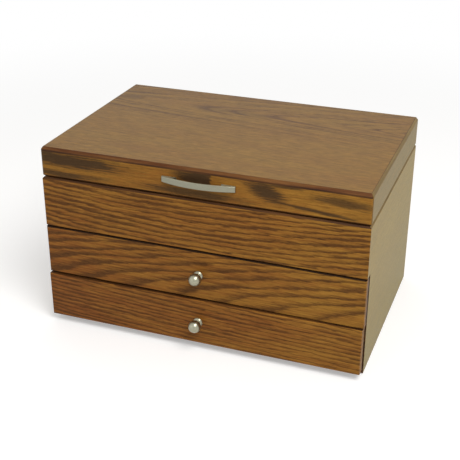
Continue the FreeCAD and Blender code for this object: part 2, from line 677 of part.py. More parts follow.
def drawer(name, ajar, front_low, front_height, inset, box_low, box_high):
    """A front, a box of four walls with its bottom in a groove, a knob and a lined floor."""
    face = f"({front} - {ajar})"
    box_front = f"({drawer_plane} - sizes.front_seat - {ajar})"
    box_back = f"({inner_back} - sizes.drawer_back_clearance - {ajar})"
    box_left = f"({inner_left} + sizes.drawer_side_clearance)"
    box_width = f"({inner_width} - 2 * sizes.drawer_side_clearance)"
    board_wall = "sizes.drawer_wall"
    rise = f"({box_high} - {box_low})"
    middle_z = f"({front_low} + {front_height} / 2)"
    cavity_left = f"({box_left} + {board_wall})"
    cavity_width = f"({box_width} - 2 * {board_wall})"
    cavity_front = f"({box_front} + {board_wall})"
    cavity_depth = f"({box_back} - {board_wall} - {cavity_front})"
    groove = f"({board_wall} / 2)"
    bottom_low = f"({box_low} + sizes.drawer_groove_lift)"
    bottom_rise = "sizes.drawer_bottom_thickness"

    front_board = board(name + "_front", (f"{left} + {inset}", face, front_low),
                        (f"sizes.case_width - 2 * {inset}", f"{box_front} - {face}", front_height))
    back_of_front = inside(front_board, (left, box_front, front_low))[1]
    ease_edges(front_board, "Fillet", "sizes.front_round", [[("Y", "0")], [("Y", back_of_front)]])
    cut_round(front_board, name + "_front_bore", ("0", box_front, middle_z), "front", bore,
              f"{box_front} - {face}")

    inner = board(name + "_inner_front", (cavity_left, box_front, box_low), (cavity_width, board_wall, rise))
    cut_box(inner, name + "_inner_front_groove", (cavity_left, f"{cavity_front} - {groove}", bottom_low),
            (cavity_width, groove, bottom_rise))
    drill_for_screw(inner, name + "_knob_screw", "0", cavity_front, middle_z, board_wall)

    rear = board(name + "_back", (cavity_left, f"{box_back} - {board_wall}", box_low),
                 (cavity_width, board_wall, rise))
    cut_box(rear, name + "_back_groove", (cavity_left, f"{box_back} - {board_wall}", bottom_low),
            (cavity_width, groove, bottom_rise))

    side_size = (board_wall, f"{box_back} - {box_front}", rise)
    groove_size = (groove, f"{cavity_depth} + 2 * {groove}", bottom_rise)
    right_wall_x = f"({cavity_left} + {cavity_width})"
    left_side = board(name + "_left_side", (box_left, box_front, box_low), side_size)
    cut_box(left_side, name + "_left_groove",
            (f"{cavity_left} - {groove}", f"{cavity_front} - {groove}", bottom_low), groove_size)
    right_side = board(name + "_right_side", (right_wall_x, box_front, box_low), side_size)
    cut_box(right_side, name + "_right_groove",
            (right_wall_x, f"{cavity_front} - {groove}", bottom_low), groove_size)

    board(name + "_bottom", (f"{cavity_left} - {groove}", f"{cavity_front} - {groove}", bottom_low),
          (f"{cavity_width} + 2 * {groove}", f"{cavity_depth} + 2 * {groove}", bottom_rise))
    bottom_top = f"({bottom_low} + {bottom_rise})"
    board(name + "_lining", (f"{cavity_left} + {slack}", f"{cavity_front} + {slack}", bottom_top),
          (f"{cavity_width} - 2 * {slack}", f"{cavity_depth} - 2 * {slack}", lining))

    knob(name + "_knob", face, middle_z)
    seat = f"({cavity_front} - {head_pocket_depth})"
    keep(machine_screw(name + "_screw", "0", seat, middle_z, f"{seat} - {face} + sizes.knob_screw_bite"),
         name + "_knob_screw")
    floor = f"({bottom_top} + {lining})"
    return cavity_left, cavity_width, cavity_front, cavity_depth, floor


_, upper_width, upper_start, upper_depth, upper_floor = drawer(
    "upper_drawer", "sizes.upper_ajar", upper_front_low, "sizes.upper_front_height",
    "sizes.upper_front_inset", f"({shelf_top} + sizes.drawer_slide_clearance)",
    f"({tray_front_low} - sizes.drawer_top_clearance)")
row_of_rolls("upper_drawer_ring_roll", "drawer_roll_count", upper_start, upper_depth,
             f"({upper_width} - 2 * {slack})", upper_floor)

_, _, lower_start, lower_depth, lower_floor = drawer(
    "lower_drawer", "sizes.lower_ajar", lower_front_low, "sizes.lower_front_height",
    "sizes.lower_front_inset", f"({base_top} + sizes.drawer_slide_clearance)",
    f"({shelf_low} - sizes.drawer_top_clearance)")
board("lower_drawer_divider", ("-sizes.divider_thickness / 2", f"{lower_start} + {slack}", lower_floor),
      ("sizes.divider_thickness", f"{lower_depth} - 2 * {slack}", "sizes.drawer_divider_height"))


# Checks, then one file for each sub-part

doc.recompute()
for item in doc.Objects:
    if "Invalid" in item.State or "Error" in item.State:
        raise RuntimeError("%s failed: %s" % (item.Label, item.State))
for piece in pieces:
    if piece.Shape.isNull() or not piece.Shape.isValid() or not piece.Shape.Solids:
        raise RuntimeError("%s has no valid solid" % piece.Label)

os.makedirs("parts", exist_ok=True)
for piece in pieces:
    piece.Shape.exportStep("parts/%s.step" % piece.Label)
    limits = piece.Shape.BoundBox
    print("%-28s %2d solid  %8.1f mm3  x %.1f..%.1f  y %.1f..%.1f  z %.1f..%.1f" % (
        piece.Label, len(piece.Shape.Solids), piece.Shape.Volume,
        limits.XMin, limits.XMax, limits.YMin, limits.YMax, limits.ZMin, limits.ZMax))
print("%d sub-parts" % len(pieces))
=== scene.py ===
import math

import bpy
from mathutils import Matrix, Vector


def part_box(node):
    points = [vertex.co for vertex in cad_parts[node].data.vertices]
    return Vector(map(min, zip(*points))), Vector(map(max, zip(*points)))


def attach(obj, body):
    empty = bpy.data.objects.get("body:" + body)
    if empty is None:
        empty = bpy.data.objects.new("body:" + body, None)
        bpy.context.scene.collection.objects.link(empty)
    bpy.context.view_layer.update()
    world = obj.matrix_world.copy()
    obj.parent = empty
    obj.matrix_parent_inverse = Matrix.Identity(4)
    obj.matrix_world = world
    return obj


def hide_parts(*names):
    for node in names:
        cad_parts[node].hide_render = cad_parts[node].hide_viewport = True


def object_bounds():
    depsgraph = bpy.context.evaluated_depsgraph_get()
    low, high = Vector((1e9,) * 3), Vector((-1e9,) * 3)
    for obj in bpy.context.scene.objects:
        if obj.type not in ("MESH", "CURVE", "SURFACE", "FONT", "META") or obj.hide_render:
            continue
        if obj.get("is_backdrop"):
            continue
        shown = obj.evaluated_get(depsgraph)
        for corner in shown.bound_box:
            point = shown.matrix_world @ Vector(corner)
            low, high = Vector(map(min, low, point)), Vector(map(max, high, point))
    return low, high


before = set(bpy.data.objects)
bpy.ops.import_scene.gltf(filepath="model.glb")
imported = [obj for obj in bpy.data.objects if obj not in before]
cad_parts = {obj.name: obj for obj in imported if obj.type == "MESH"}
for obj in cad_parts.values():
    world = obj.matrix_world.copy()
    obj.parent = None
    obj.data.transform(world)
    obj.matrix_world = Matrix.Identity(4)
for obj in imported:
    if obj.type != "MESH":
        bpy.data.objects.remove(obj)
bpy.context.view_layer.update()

# Ring box: stained ash veneer over a red-brown core, satin nickel handle and knobs, sand velvet inside.
# Everything is in metres; sizes in the settings are in millimetres and are multiplied by mm.
mm = 0.001
scene = bpy.context.scene
print("frame loaded:", len(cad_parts), "nodes")


# small helpers

def linearColour(code):
    # sRGB hex to the linear colour that a socket wants
    channels = [int(code[i:i + 2], 16) / 255 for i in (1, 3, 5)]
    linear = [c / 12.92 if c <= 0.04045 else ((c + 0.055) / 1.055) ** 2.4 for c in channels]
    return (*linear, 1)


def addNode(tree, kind, inputs=None, **settings):
    node = tree.nodes.new("ShaderNode" + kind)
    for name, value in settings.items():
        setattr(node, name, value)
    for key, value in (inputs or {}).items():
        if isinstance(key, int):
            socket = node.inputs[key]
        else:
            socket = next(s for s in node.inputs if s.name == key and s.enabled)
        if isinstance(value, bpy.types.Node):
            value = next(s for s in value.outputs if s.enabled)
        if isinstance(value, bpy.types.NodeSocket):
            tree.links.new(value, socket)
        else:
            socket.default_value = value
    return node


def newMaterial(name):
    material = bpy.data.materials.new(name)
    material.use_nodes = True
    material.node_tree.nodes.clear()
    return material, material.node_tree


def closeMaterial(tree, shader):
    addNode(tree, "OutputMaterial", {"Surface": shader})


# camera

# place in millimetres, turn in degrees
camera = {
    "place": (283.97, -792.11, 489.17),
    "turn": (63.827, -0.098, 20.208),
    "lens": 74.47,
    "sensor": 36,
}
cameraData = bpy.data.cameras.new("camera")
cameraData.lens = camera["lens"]
cameraData.sensor_width = camera["sensor"]
cameraObject = bpy.data.objects.new("camera", cameraData)
cameraObject.location = Vector(camera["place"]) * mm
cameraObject.rotation_euler = [math.radians(angle) for angle in camera["turn"]]
scene.collection.objects.link(cameraObject)
scene.camera = cameraObject


# light, floor and world

# Large round soft lights: aim is a point on the object; place and size in millimetres
lamps = {
    "keyLight": {"place": (560, -600, 1100), "aim": (0, 0, 80), "size": (700, 700), "watts": 11.3},
    "fillLight": {"place": (-900, -1300, 500), "aim": (0, 0, 80), "size": (1500, 1200), "watts": 1.4},
    "topLight": {"place": (-300, 700, 1500), "aim": (0, 0, 80), "size": (1400, 1200), "watts": 2.8},
}
for name, lamp in lamps.items():
    light = bpy.data.lights.new(name, "AREA")
    light.shape = "ELLIPSE"
    light.size, light.size_y = lamp["size"][0] * mm, lamp["size"][1] * mm
    light.energy = lamp["watts"]
    lampObject = bpy.data.objects.new(name, light)
    lampObject.location = Vector(lamp["place"]) * mm
    direction = Vector(lamp["aim"]) - Vector(lamp["place"])
    lampObject.rotation_euler = direction.to_track_quat("-Z", "Y").to_euler()
    scene.collection.objects.link(lampObject)


def seenDirectly(tree):
    # 1 for what the eye, a gloss or glass sees, 0 for light that falls on the object
    path = addNode(tree, "LightPath")
    seen = addNode(tree, "Math", {
        0: path.outputs["Is Camera Ray"], 1: path.outputs["Is Glossy Ray"]}, operation="MAXIMUM")
    return addNode(tree, "Math", {0: seen, 1: path.outputs["Is Transmission Ray"]}, operation="MAXIMUM")


# fill, white: the world's strength on the object and in view; floorLift: how much the paper glows in view,
# so the shadow stays light; fadeStart, fadeEnd: where it fades to plain white. Lengths in millimetres.
studio = {"fill": 0.47, "white": 1.0, "floorColour": "#E4E3E1", "floorLift": 0.34, "floorSize": 12000,
          "floorDrop": 0.1, "fadeStart": 350, "fadeEnd": 1100}

world = bpy.data.worlds.new("studio")
world.use_nodes = True
world.node_tree.nodes.clear()
strength = addNode(world.node_tree, "MapRange", {
    "Value": seenDirectly(world.node_tree), "To Min": studio["fill"], "To Max": studio["white"]})
sky = addNode(world.node_tree, "Background", {"Color": (1, 1, 1, 1), "Strength": strength})
addNode(world.node_tree, "OutputWorld", {"Surface": sky})
scene.world = world

bpy.ops.object.select_all(action="DESELECT")
bpy.ops.mesh.primitive_plane_add(size=studio["floorSize"] * mm, location=(0, 0, -studio["floorDrop"] * mm))
floor = bpy.context.object
floor.name = "studioFloor"
# White paper sweep: matt, keeps the shadow near the box, and fades to plain white away from it
paper, tree = newMaterial("whitePaperSweep")
seen = seenDirectly(tree)
matt = addNode(tree, "BsdfDiffuse", {"Color": linearColour(studio["floorColour"])})
lift = addNode(tree, "Math", {0: seen, 1: studio["floorLift"]}, operation="MULTIPLY")
nearPaper = addNode(tree, "AddShader", {0: matt, 1: addNode(tree, "Emission", {"Strength": lift})})
away = addNode(tree, "VectorMath", {0: addNode(tree, "TexCoord").outputs["Object"]}, operation="LENGTH")
fade = addNode(tree, "MapRange", {
    "Value": away.outputs["Value"], "From Min": studio["fadeStart"] * mm,
    "From Max": studio["fadeEnd"] * mm}, interpolation_type="SMOOTHSTEP")
fadeSeen = addNode(tree, "Math", {0: fade, 1: seen}, operation="MULTIPLY")
farPaper = addNode(tree, "Emission", {"Strength": studio["white"]})
closeMaterial(tree, addNode(tree, "MixShader", {0: fadeSeen, 1: nearPaper, 2: farPaper}))
floor.data.materials.append(paper)
floor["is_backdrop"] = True
scene.view_settings.view_transform = "Standard"
print("studio set")


# wood

# How a board's own grain frame lies: along the grain, across it, and out of the face
grainTurns = {
    "front": (-90, 0, 0),
    "top": (0, 0, 0),
    "side": (-90, -90, 0),
}
# Where the values of a noise lie: nearly all of them, and the middle ones
wideSpan = {"From Min": 0.3, "From Max": 0.7}
middleSpan = {"From Min": 0.35, "From Max": 0.65}

# Ash veneer, flat sliced, brown oil stain under thin satin lacquer. Growth rings show as darker porous
# bands that run in long arms; the pores take more stain and stay as short dark dashes. Millimetres.
# A noise has its length along the grain, its width, its detail and a shift that keeps it off the others.
veneer = {
    "brown": "#4E2E16", "umber": "#35261B", "pore": "#36210F", "glaze": "#FFDCA0",
    "roughness": 0.42, "poreRoughness": 0.62, "ior": 1.3,
    "bloomColour": "#DCEC81", "bloomRoughness": 0.5,
    "wander": (95, 17, 1.0), "ripple": (13, 2.6, 2.0), "streaks": (20, 1.1, 3.0, 7.0),
    "tone": (55, 8, 2.0, 31.0), "redness": (120, 22, 1.0, 55.0), "pores": (4.5, 0.4, 1.0, 3.0),
    "fibreLength": 12, "fibreDetail": 2.0, "fibreShift": 12.0,
    "halfLength": 150,
    # share of a ring at which its band begins and has faded, softness of the band's edge, years' noise
    "bandStart": 0.78, "bandEnd": 0.68, "bandSoft": 0.85, "fray": 0.95, "yearScale": 0.45,
    # how high a band has to rise to show, at the lowest and at the highest tone
    "toneFrom": 0.32, "toneTo": 0.68, "showLowTone": 0.5, "showHighTone": 0.05,
    # where the figure fades on a partly plain board, and what is left of it
    "fadeFrom": -25, "fadeTo": 15, "fadeRest": 0.12,
    "streakyRed": 1.2, "redFrom": 0.7, "redTo": 1.5, "redSwing": 0.5,
    # where the painted shade at a board's foot begins and ends, across the board
    "footFrom": -70, "footTo": 40,
    "broadLight": 1.08, "broadDark": 0.86,
    "poreFrom": 0.54, "poreTo": 0.64, "poreLeast": 0.2, "poreMost": 0.8, "poreDepth": 0.06, "poreBump": 0.5,
}

# Dark ends of wide rings on the lid's front, and under the handle a painted shadow of it as well: middle
# along and across the board, half length and half width, lean in degrees, strength; endAt: where a knot's
# edge cuts the patch off
lidPatches = [
    {"middle": (-125, 4.5), "half": (65, 7.8), "lean": -1, "strength": 0.93},
    {"middle": (-142, -9.3), "half": (50, 3.6), "lean": -2, "strength": 0.8},
    {"middle": (2, 5.5), "half": (27, 9.4), "lean": -3, "strength": 0.95, "endAt": 13},
    # under the handle: a dark ring end, partly the handle's painted shadow
    {"middle": (-5, -8.3), "half": (54, 4.6), "lean": -1, "strength": 0.8},
    {"middle": (-104, -8.2), "half": (24, 2.0), "lean": 1, "strength": 0.45},
    {"middle": (61, 3.0), "half": (21, 8.4), "lean": -20, "strength": 0.92},
    {"middle": (84, 10.3), "half": (22, 2.2), "lean": 5, "strength": 0.8},
    {"middle": (129, 2.9), "half": (31, 4.6), "lean": -4, "strength": 0.72},
    {"middle": (106, -8.1), "half": (44, 1.7), "lean": -5, "strength": 0.85},
]
# Broad dark ends of rings on the lid's top
lidTopPatches = [
    {"middle": (-136, 58), "half": (17, 8.5), "lean": 0, "strength": 0.32},
    {"middle": (-20, 50), "half": (46, 5.5), "lean": -3, "strength": 0.26},
]
# Edge of such a patch: how far the streaks tear it, where it starts and ends to fade, and how the knot's
# edge waves and fades
patchEdge = {"torn": 1.8, "fadeFrom": 1.35, "fadeTo": 2.1, "wave": 8, "cutFrom": 3, "cutTo": 5,
             "deep": 1000}

# nodes: whose middle the pattern is centred on; rings: spacing; pith, depth, taper: the heart of the log
# below the face; slope, sag: how the arms lean and bend; wander, ripple: long and short waves; contrast:
# how dark the bands are; fill: how much of the face they take; drift: more of them towards the left end;
# red: share of the redder ground; redDrift: more of it towards the left end; fibre, fibreWidth: how much
# the fine lines show and how wide they are; uneven: wide and narrow years; bloom: old wax that lightens
# the wood where it is seen at a low angle; paintedFootShade: painted shade, how much of its tone the board
# keeps at its foot, so it darkens towards the bottom; plainBelow: the figure fades away below this line
plainFigure = {"taper": 0.0, "slope": 0.0, "sag": 0.0, "sagMiddle": 0, "fill": 0.0, "drift": 0.0,
               "red": 0.4, "redDrift": 0.0, "fibre": 0.17, "fibreWidth": 0.6, "bloom": 0.0,
               "gold": "#936829", "redGold": "#814A20", "patches": ()}
figures = {
    "upperFront": {"nodes": ["upper_front_panel"], "turn": "front", "rings": 5.0, "pith": -300, "depth": 30,
                   "sag": 0.00042, "sagMiddle": -15, "wander": 4.0, "ripple": 1.8, "contrast": 0.86,
                   "fill": 0.17, "drift": 0.05, "redDrift": 0.1},
    "upperDrawer": {"nodes": ["upper_drawer_front"], "turn": "front", "rings": 4.4, "pith": -32,
                    "depth": 50, "taper": 0.1, "wander": 5.0, "ripple": 1.9, "contrast": 0.84, "fill": 0.16,
                    "drift": 0.1, "red": 0.45, "redDrift": 0.25},
    "lowerDrawer": {"nodes": ["lower_drawer_front"], "turn": "front", "rings": 4.1, "pith": -300,
                    "depth": 30, "slope": -0.05, "sag": 0.00008, "wander": 3.5, "ripple": 1.4,
                    "contrast": 0.8, "fill": 0.14, "drift": 0.1, "red": 0.6, "redDrift": 0.25},
    "lidFront": {"nodes": ["lid_front_rail", "lid_top_panel"], "turn": "front", "rings": 9.0, "pith": -120,
                 "depth": 40, "taper": 0.03, "slope": -0.02, "wander": 3.0, "ripple": 0.8,
                 "contrast": 0.18, "red": 0.2, "patches": lidPatches},
    "lidTop": {"nodes": ["lid_top_panel"], "turn": "top", "rings": 5.2, "pith": 51, "depth": 12,
               "taper": 0.1, "slope": -0.01, "wander": 3.0, "ripple": 1.2, "contrast": 0.82, "red": 0.3,
               "plainBelow": 18, "fibre": 0.22, "fibreWidth": 1.7, "uneven": 2.2, "gold": "#7D5C23",
               "redGold": "#765020", "patches": lidTopPatches},
    "sides": {"nodes": ["right_side_panel"], "turn": "side", "rings": 7.0, "pith": -260, "depth": 30,
              "slope": 0.04, "wander": 4.0, "ripple": 0.8, "contrast": 0.12, "fibre": 0.24,
              "bloom": 0.14, "paintedFootShade": 0.76, "gold": "#856127", "redGold": "#7E5723"},
    "lidSides": {"nodes": ["lid_right_rail", "lid_top_panel"], "turn": "side", "rings": 7.0, "pith": -240,
                 "depth": 30, "slope": 0.03, "wander": 4.0, "ripple": 0.8, "contrast": 0.12,
                 "fibre": 0.24, "bloom": 0.11, "gold": "#73501F", "redGold": "#6B491B"},
    "back": {"nodes": ["back_panel"], "turn": "front", "rings": 6.0, "pith": -60, "depth": 70,
             "taper": 0.08, "wander": 4.0, "ripple": 1.2, "contrast": 0.7},
}


def inMillimetres(tree, turn="top"):
    # object coordinates in millimetres, turned so that x runs along the grain
    return addNode(tree, "Mapping", {
        "Vector": addNode(tree, "TexCoord").outputs["Object"],
        "Rotation": [math.radians(angle) for angle in grainTurns[turn]], "Scale": (1 / mm,) * 3})


def stretched(tree, coordinates, length, width, detail=2.0, shift=0.0):
    # noise drawn out along the grain; length and width in millimetres
    mapping = addNode(tree, "Mapping", {
        "Vector": coordinates, "Location": (shift, shift, shift),
        "Scale": (1 / length, 1 / width, 1 / width)})
    return addNode(tree, "TexNoise", {"Vector": mapping, "Scale": 1.0, "Detail": detail})


def veneerMaterial(name, settings):
    figure = {**plainFigure, **settings}
    material, tree = newMaterial(name)
    boxes = [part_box(node) for node in figure["nodes"]]
    middle = [(min(low[i] for low, _ in boxes) + max(high[i] for _, high in boxes)) / 2 for i in range(3)]
    turn = [math.radians(angle) for angle in grainTurns[figure["turn"]]]
    centred = addNode(tree, "VectorMath", {
        0: addNode(tree, "TexCoord").outputs["Object"], 1: middle}, operation="SUBTRACT")
    grain = addNode(tree, "Mapping", {"Vector": centred, "Rotation": turn, "Scale": (1 / mm,) * 3})
    parts = addNode(tree, "SeparateXYZ", {"Vector": grain})
    along, across = parts.outputs["X"], parts.outputs["Y"]

    # lean, sag and waves move the arms across the board
    leaning = addNode(tree, "Math", {0: along, 1: -figure["slope"], 2: across}, operation="MULTIPLY_ADD")
    fromMiddle = addNode(tree, "Math", {0: along, 1: figure["sagMiddle"]}, operation="SUBTRACT")
    square = addNode(tree, "Math", {0: fromMiddle, 1: fromMiddle}, operation="MULTIPLY")
    sagging = addNode(tree, "Math", {0: square, 1: -figure["sag"], 2: leaning}, operation="MULTIPLY_ADD")
    wander = stretched(tree, grain, *veneer["wander"], figure["rings"])
    wavy = addNode(tree, "Math", {
        0: wander, 1: 2 * figure["wander"], 2: sagging}, operation="MULTIPLY_ADD")
    ripple = stretched(tree, grain, *veneer["ripple"])
    rippled = addNode(tree, "Math", {
        0: ripple, 1: 2 * figure["ripple"], 2: wavy}, operation="MULTIPLY_ADD")
    fromPith = addNode(tree, "Math", {
        0: rippled, 1: figure["pith"] + figure["wander"] + figure["ripple"]}, operation="SUBTRACT")

    # ring number: distance from the heart, less the log's taper along the board
    squared = addNode(tree, "Math", {
        0: fromPith, 1: fromPith, 2: figure["depth"] ** 2}, operation="MULTIPLY_ADD")
    radius = addNode(tree, "Math", {0: squared}, operation="SQRT")
    tapered = addNode(tree, "Math", {0: along, 1: -figure["taper"], 2: radius}, operation="MULTIPLY_ADD")
    ringNumber = addNode(tree, "Math", {0: tapered, 1: figure["rings"]}, operation="DIVIDE")
    if "uneven" in figure:
        years = addNode(tree, "TexNoise", {
            "W": ringNumber, "Scale": veneer["yearScale"], "Detail": 0.0}, noise_dimensions="1D")
        ringNumber = addNode(tree, "Math", {
            0: years, 1: figure["uneven"], 2: ringNumber}, operation="MULTIPLY_ADD")
    phase = addNode(tree, "Math", {0: ringNumber}, operation="FRACT")
    rise = addNode(tree, "MapRange", {"Value": phase, "From Min": veneer["bandStart"], "From Max": 1.0})
    fall = addNode(tree, "MapRange", {
        "Value": phase, "From Max": veneer["bandEnd"], "To Min": 1.0, "To Max": 0.0})
    wave = addNode(tree, "Math", {0: rise, 1: fall}, operation="MAXIMUM")

    # the bands swell, thin out and fray along their length
    streaks = stretched(tree, grain, *veneer["streaks"])
    frayed = addNode(tree, "Math", {0: streaks, 1: veneer["fray"], 2: wave}, operation="MULTIPLY_ADD")
    leftwards = addNode(tree, "Math", {
        0: along, 1: -figure["drift"] / veneer["halfLength"], 2: stretched(tree, grain, *veneer["tone"])},
        operation="MULTIPLY_ADD")
    offset = veneer["fray"] / 2 - figure["fill"]
    level = addNode(tree, "MapRange", {
        "Value": leftwards, "From Min": veneer["toneFrom"], "From Max": veneer["toneTo"],
        "To Min": veneer["showLowTone"] + offset, "To Max": veneer["showHighTone"] + offset})
    excess = addNode(tree, "Math", {0: frayed, 1: level}, operation="SUBTRACT")
    band = addNode(tree, "MapRange", {
        "Value": excess, "From Max": veneer["bandSoft"]}, interpolation_type="SMOOTHSTEP")
    dark = addNode(tree, "Math", {0: band, 1: figure["contrast"]}, operation="MULTIPLY")
    if "plainBelow" in figure:
        figured = addNode(tree, "MapRange", {
            "Value": across, "From Min": figure["plainBelow"] + veneer["fadeFrom"],
            "From Max": figure["plainBelow"] + veneer["fadeTo"], "To Min": veneer["fadeRest"]},
            interpolation_type="SMOOTHSTEP")
        dark = addNode(tree, "Math", {0: dark, 1: figured}, operation="MULTIPLY")

    # stain colours
    redward = addNode(tree, "Math", {
        0: along, 1: -figure["redDrift"] / veneer["halfLength"],
        2: stretched(tree, grain, *veneer["redness"])}, operation="MULTIPLY_ADD")
    streaky = addNode(tree, "Math", {
        0: streaks, 1: veneer["streakyRed"], 2: redward}, operation="MULTIPLY_ADD")
    redness = addNode(tree, "MapRange", {
        "Value": streaky, "From Min": veneer["redFrom"], "From Max": veneer["redTo"],
        "To Min": figure["red"] - veneer["redSwing"], "To Max": figure["red"] + veneer["redSwing"]})
    ground = addNode(tree, "Mix", {
        "Factor": redness, "A": linearColour(figure["gold"]), "B": linearColour(figure["redGold"])},
        data_type="RGBA")
    colour = addNode(tree, "Mix", {
        "Factor": dark, "A": ground, "B": linearColour(veneer["brown"])}, data_type="RGBA")

    # dark ring ends: umber ovals with streaky edges
    for patch in figure["patches"]:
        place = addNode(tree, "Mapping", {
            "Vector": grain, "Location": (*patch["middle"], 0),
            "Rotation": (0, 0, math.radians(patch["lean"])),
            "Scale": (*patch["half"], patchEdge["deep"])}, vector_type="TEXTURE")
        distance = addNode(tree, "VectorMath", {0: place}, operation="LENGTH")
        torn = addNode(tree, "Math", {
            0: streaks, 1: patchEdge["torn"], 2: distance.outputs["Value"]}, operation="MULTIPLY_ADD")
        blot = addNode(tree, "MapRange", {
            "Value": torn, "From Min": patchEdge["fadeFrom"], "From Max": patchEdge["fadeTo"],
            "To Min": patch["strength"], "To Max": 0.0}, interpolation_type="SMOOTHSTEP")
        if "endAt" in patch:
            rim = addNode(tree, "Math", {
                0: ripple, 1: patchEdge["wave"], 2: along}, operation="MULTIPLY_ADD")
            inside = addNode(tree, "MapRange", {
                "Value": rim, "From Min": patch["endAt"] + patchEdge["cutFrom"],
                "From Max": patch["endAt"] + patchEdge["cutTo"], "To Min": 1.0, "To Max": 0.0})
            blot = addNode(tree, "Math", {0: blot, 1: inside}, operation="MULTIPLY")
        colour = addNode(tree, "Mix", {
            "Factor": blot, "A": colour, "B": linearColour(veneer["umber"])}, data_type="RGBA")
        dark = addNode(tree, "Math", {0: dark, 1: blot}, operation="MAXIMUM")

    # fibres and pores
    fibre = stretched(tree, grain, veneer["fibreLength"], figure["fibreWidth"], veneer["fibreDetail"],
                      veneer["fibreShift"])
    shade = addNode(tree, "MapRange", {
        **wideSpan, "Value": fibre, "To Min": 1 - figure["fibre"], "To Max": 1 + figure["fibre"]})
    broadShade = addNode(tree, "MapRange", {
        **wideSpan, "Value": streaks, "To Min": veneer["broadLight"], "To Max": veneer["broadDark"]})
    broad = addNode(tree, "VectorMath", {0: colour, 1: broadShade}, operation="MULTIPLY")
    # painted shade: the board darkens towards its foot
    if "paintedFootShade" in figure:
        lower = addNode(tree, "MapRange", {
            "Value": across, "From Min": veneer["footFrom"], "From Max": veneer["footTo"],
            "To Min": figure["paintedFootShade"]})
        broad = addNode(tree, "VectorMath", {0: broad, 1: lower}, operation="MULTIPLY")
    fibrous = addNode(tree, "VectorMath", {0: broad, 1: shade}, operation="MULTIPLY")
    pore = addNode(tree, "MapRange", {
        "Value": stretched(tree, grain, *veneer["pores"]), "From Min": veneer["poreFrom"],
        "From Max": veneer["poreTo"]})
    poreRoom = addNode(tree, "MapRange", {
        "Value": dark, "To Min": veneer["poreLeast"], "To Max": veneer["poreMost"]})
    pores = addNode(tree, "Math", {0: pore, 1: poreRoom}, operation="MULTIPLY")
    colour = addNode(tree, "Mix", {
        "Factor": pores, "A": fibrous, "B": linearColour(veneer["pore"])}, data_type="RGBA")

    # open pores: the thin lacquer sinks into them
    hollow = addNode(tree, "Math", {0: pores, 1: -1.0}, operation="MULTIPLY")
    bump = addNode(tree, "Bump", {
        "Height": hollow, "Strength": veneer["poreBump"], "Distance": veneer["poreDepth"] * mm})
    gloss = addNode(tree, "MapRange", {
        "Value": pores, "To Min": veneer["roughness"], "To Max": veneer["poreRoughness"]})
    closeMaterial(tree, addNode(tree, "BsdfPrincipled", {
        "Base Color": colour, "Roughness": gloss, "IOR": veneer["ior"],
        "Specular Tint": linearColour(veneer["glaze"]), "Sheen Weight": figure["bloom"],
        "Sheen Roughness": veneer["bloomRoughness"], "Sheen Tint": linearColour(veneer["bloomColour"]),
        "Normal": bump}))
    return material


veneers = {name: veneerMaterial("ashVeneer" + name[0].upper() + name[1:], figure)
           for name, figure in figures.items()}

# Plain stained wood: fine straight fibre, no figure; the planed edge of a board drinks more stain
plainWood = {"broad": (60, 4, 2.0), "fibre": (9, 0.5, 3.0, 4.0), "shadeDark": 0.8, "shadeLight": 1.15,
             "bump": 0.3, "fibreDepth": 0.05}


def plainWoodMaterial(name, look, turn):
    material, tree = newMaterial(name)
    grain = inMillimetres(tree, turn)
    broad = addNode(tree, "MapRange", {
        **middleSpan, "Value": stretched(tree, grain, *plainWood["broad"])})
    ground = addNode(tree, "Mix", {
        "Factor": broad, "A": linearColour(look["light"]), "B": linearColour(look["dark"])},
        data_type="RGBA")
    fibre = stretched(tree, grain, *plainWood["fibre"])
    shade = addNode(tree, "MapRange", {
        **wideSpan, "Value": fibre, "To Min": plainWood["shadeDark"], "To Max": plainWood["shadeLight"]})
    colour = addNode(tree, "VectorMath", {0: ground, 1: shade}, operation="MULTIPLY")
    bump = addNode(tree, "Bump", {
        "Height": fibre, "Strength": plainWood["bump"], "Distance": plainWood["fibreDepth"] * mm})
    closeMaterial(tree, addNode(tree, "BsdfPrincipled", {
        "Base Color": colour, "Roughness": look["roughness"], "IOR": look["ior"], "Normal": bump}))
    return material


# Solid core under the veneer, shaped and stained red-brown, satin lacquer: it shows on every chamfer
coreWood = plainWoodMaterial(
    "stainedCoreChamfer", {"light": "#704A28", "dark": "#54301A", "roughness": 0.45, "ior": 1.18}, "front")
# The same chamfer where it runs along the grain of the sides: no deep stain, so it stays brown
sideEdge = plainWoodMaterial(
    "stainedSideChamfer", {"light": "#80693C", "dark": "#6E5830", "roughness": 0.45, "ior": 1.2}, "side")
# Sawn ends of the drawer fronts: raw core, wiped with stain and left matt
sawnEdge = plainWoodMaterial(
    "sawnDrawerEdge", {"light": "#9C7A56", "dark": "#866646", "roughness": 0.7, "ior": 1.12}, "side")
# Cut veneer edges and the ends of the core, where the stain soaks in: nearly black brown; where such an
# edge lies in a gap or under the lid's overhang, the same dark is also painted shade
stainSoakedAndShadedEdge = plainWoodMaterial(
    "edgeStainAndGapShade", {"light": "#5A3818", "dark": "#301A0C", "roughness": 0.5, "ior": 1.25}, "front")
# Painted shadow: the same edge made black brown where it lies in the gap under the upper front, so the gap
# reads as a dark line
paintedGapShadow = plainWoodMaterial(
    "gapShadowEdge", {"light": "#301E10", "dark": "#1C1008", "roughness": 0.6, "ior": 1.18}, "front")
# Poplar, planed and wiped with thin brown stain: pale, even and nearly matt
poplar = {"light": "#8A6238", "dark": "#74502C", "roughness": 0.6, "ior": 1.4}
innerWood = plainWoodMaterial("stainedPoplar", poplar, "front")
innerSideWood = plainWoodMaterial("stainedPoplarSides", poplar, "side")
innerFlatWood = plainWoodMaterial(
    "stainedPoplarFlats", {"light": "#84603A", "dark": "#6E4E2C", "roughness": 0.65, "ior": 1.4}, "top")
print("wood materials made")


# metal, glass and cloth

# Satin plate: fine lines from the brush spread the highlight
plate = {"detail": 3.0, "toneDark": 0.93, "toneLight": 1.05, "smoother": 0.05, "rougher": 0.06,
         "bump": 0.15, "lineDepth": 0.02}


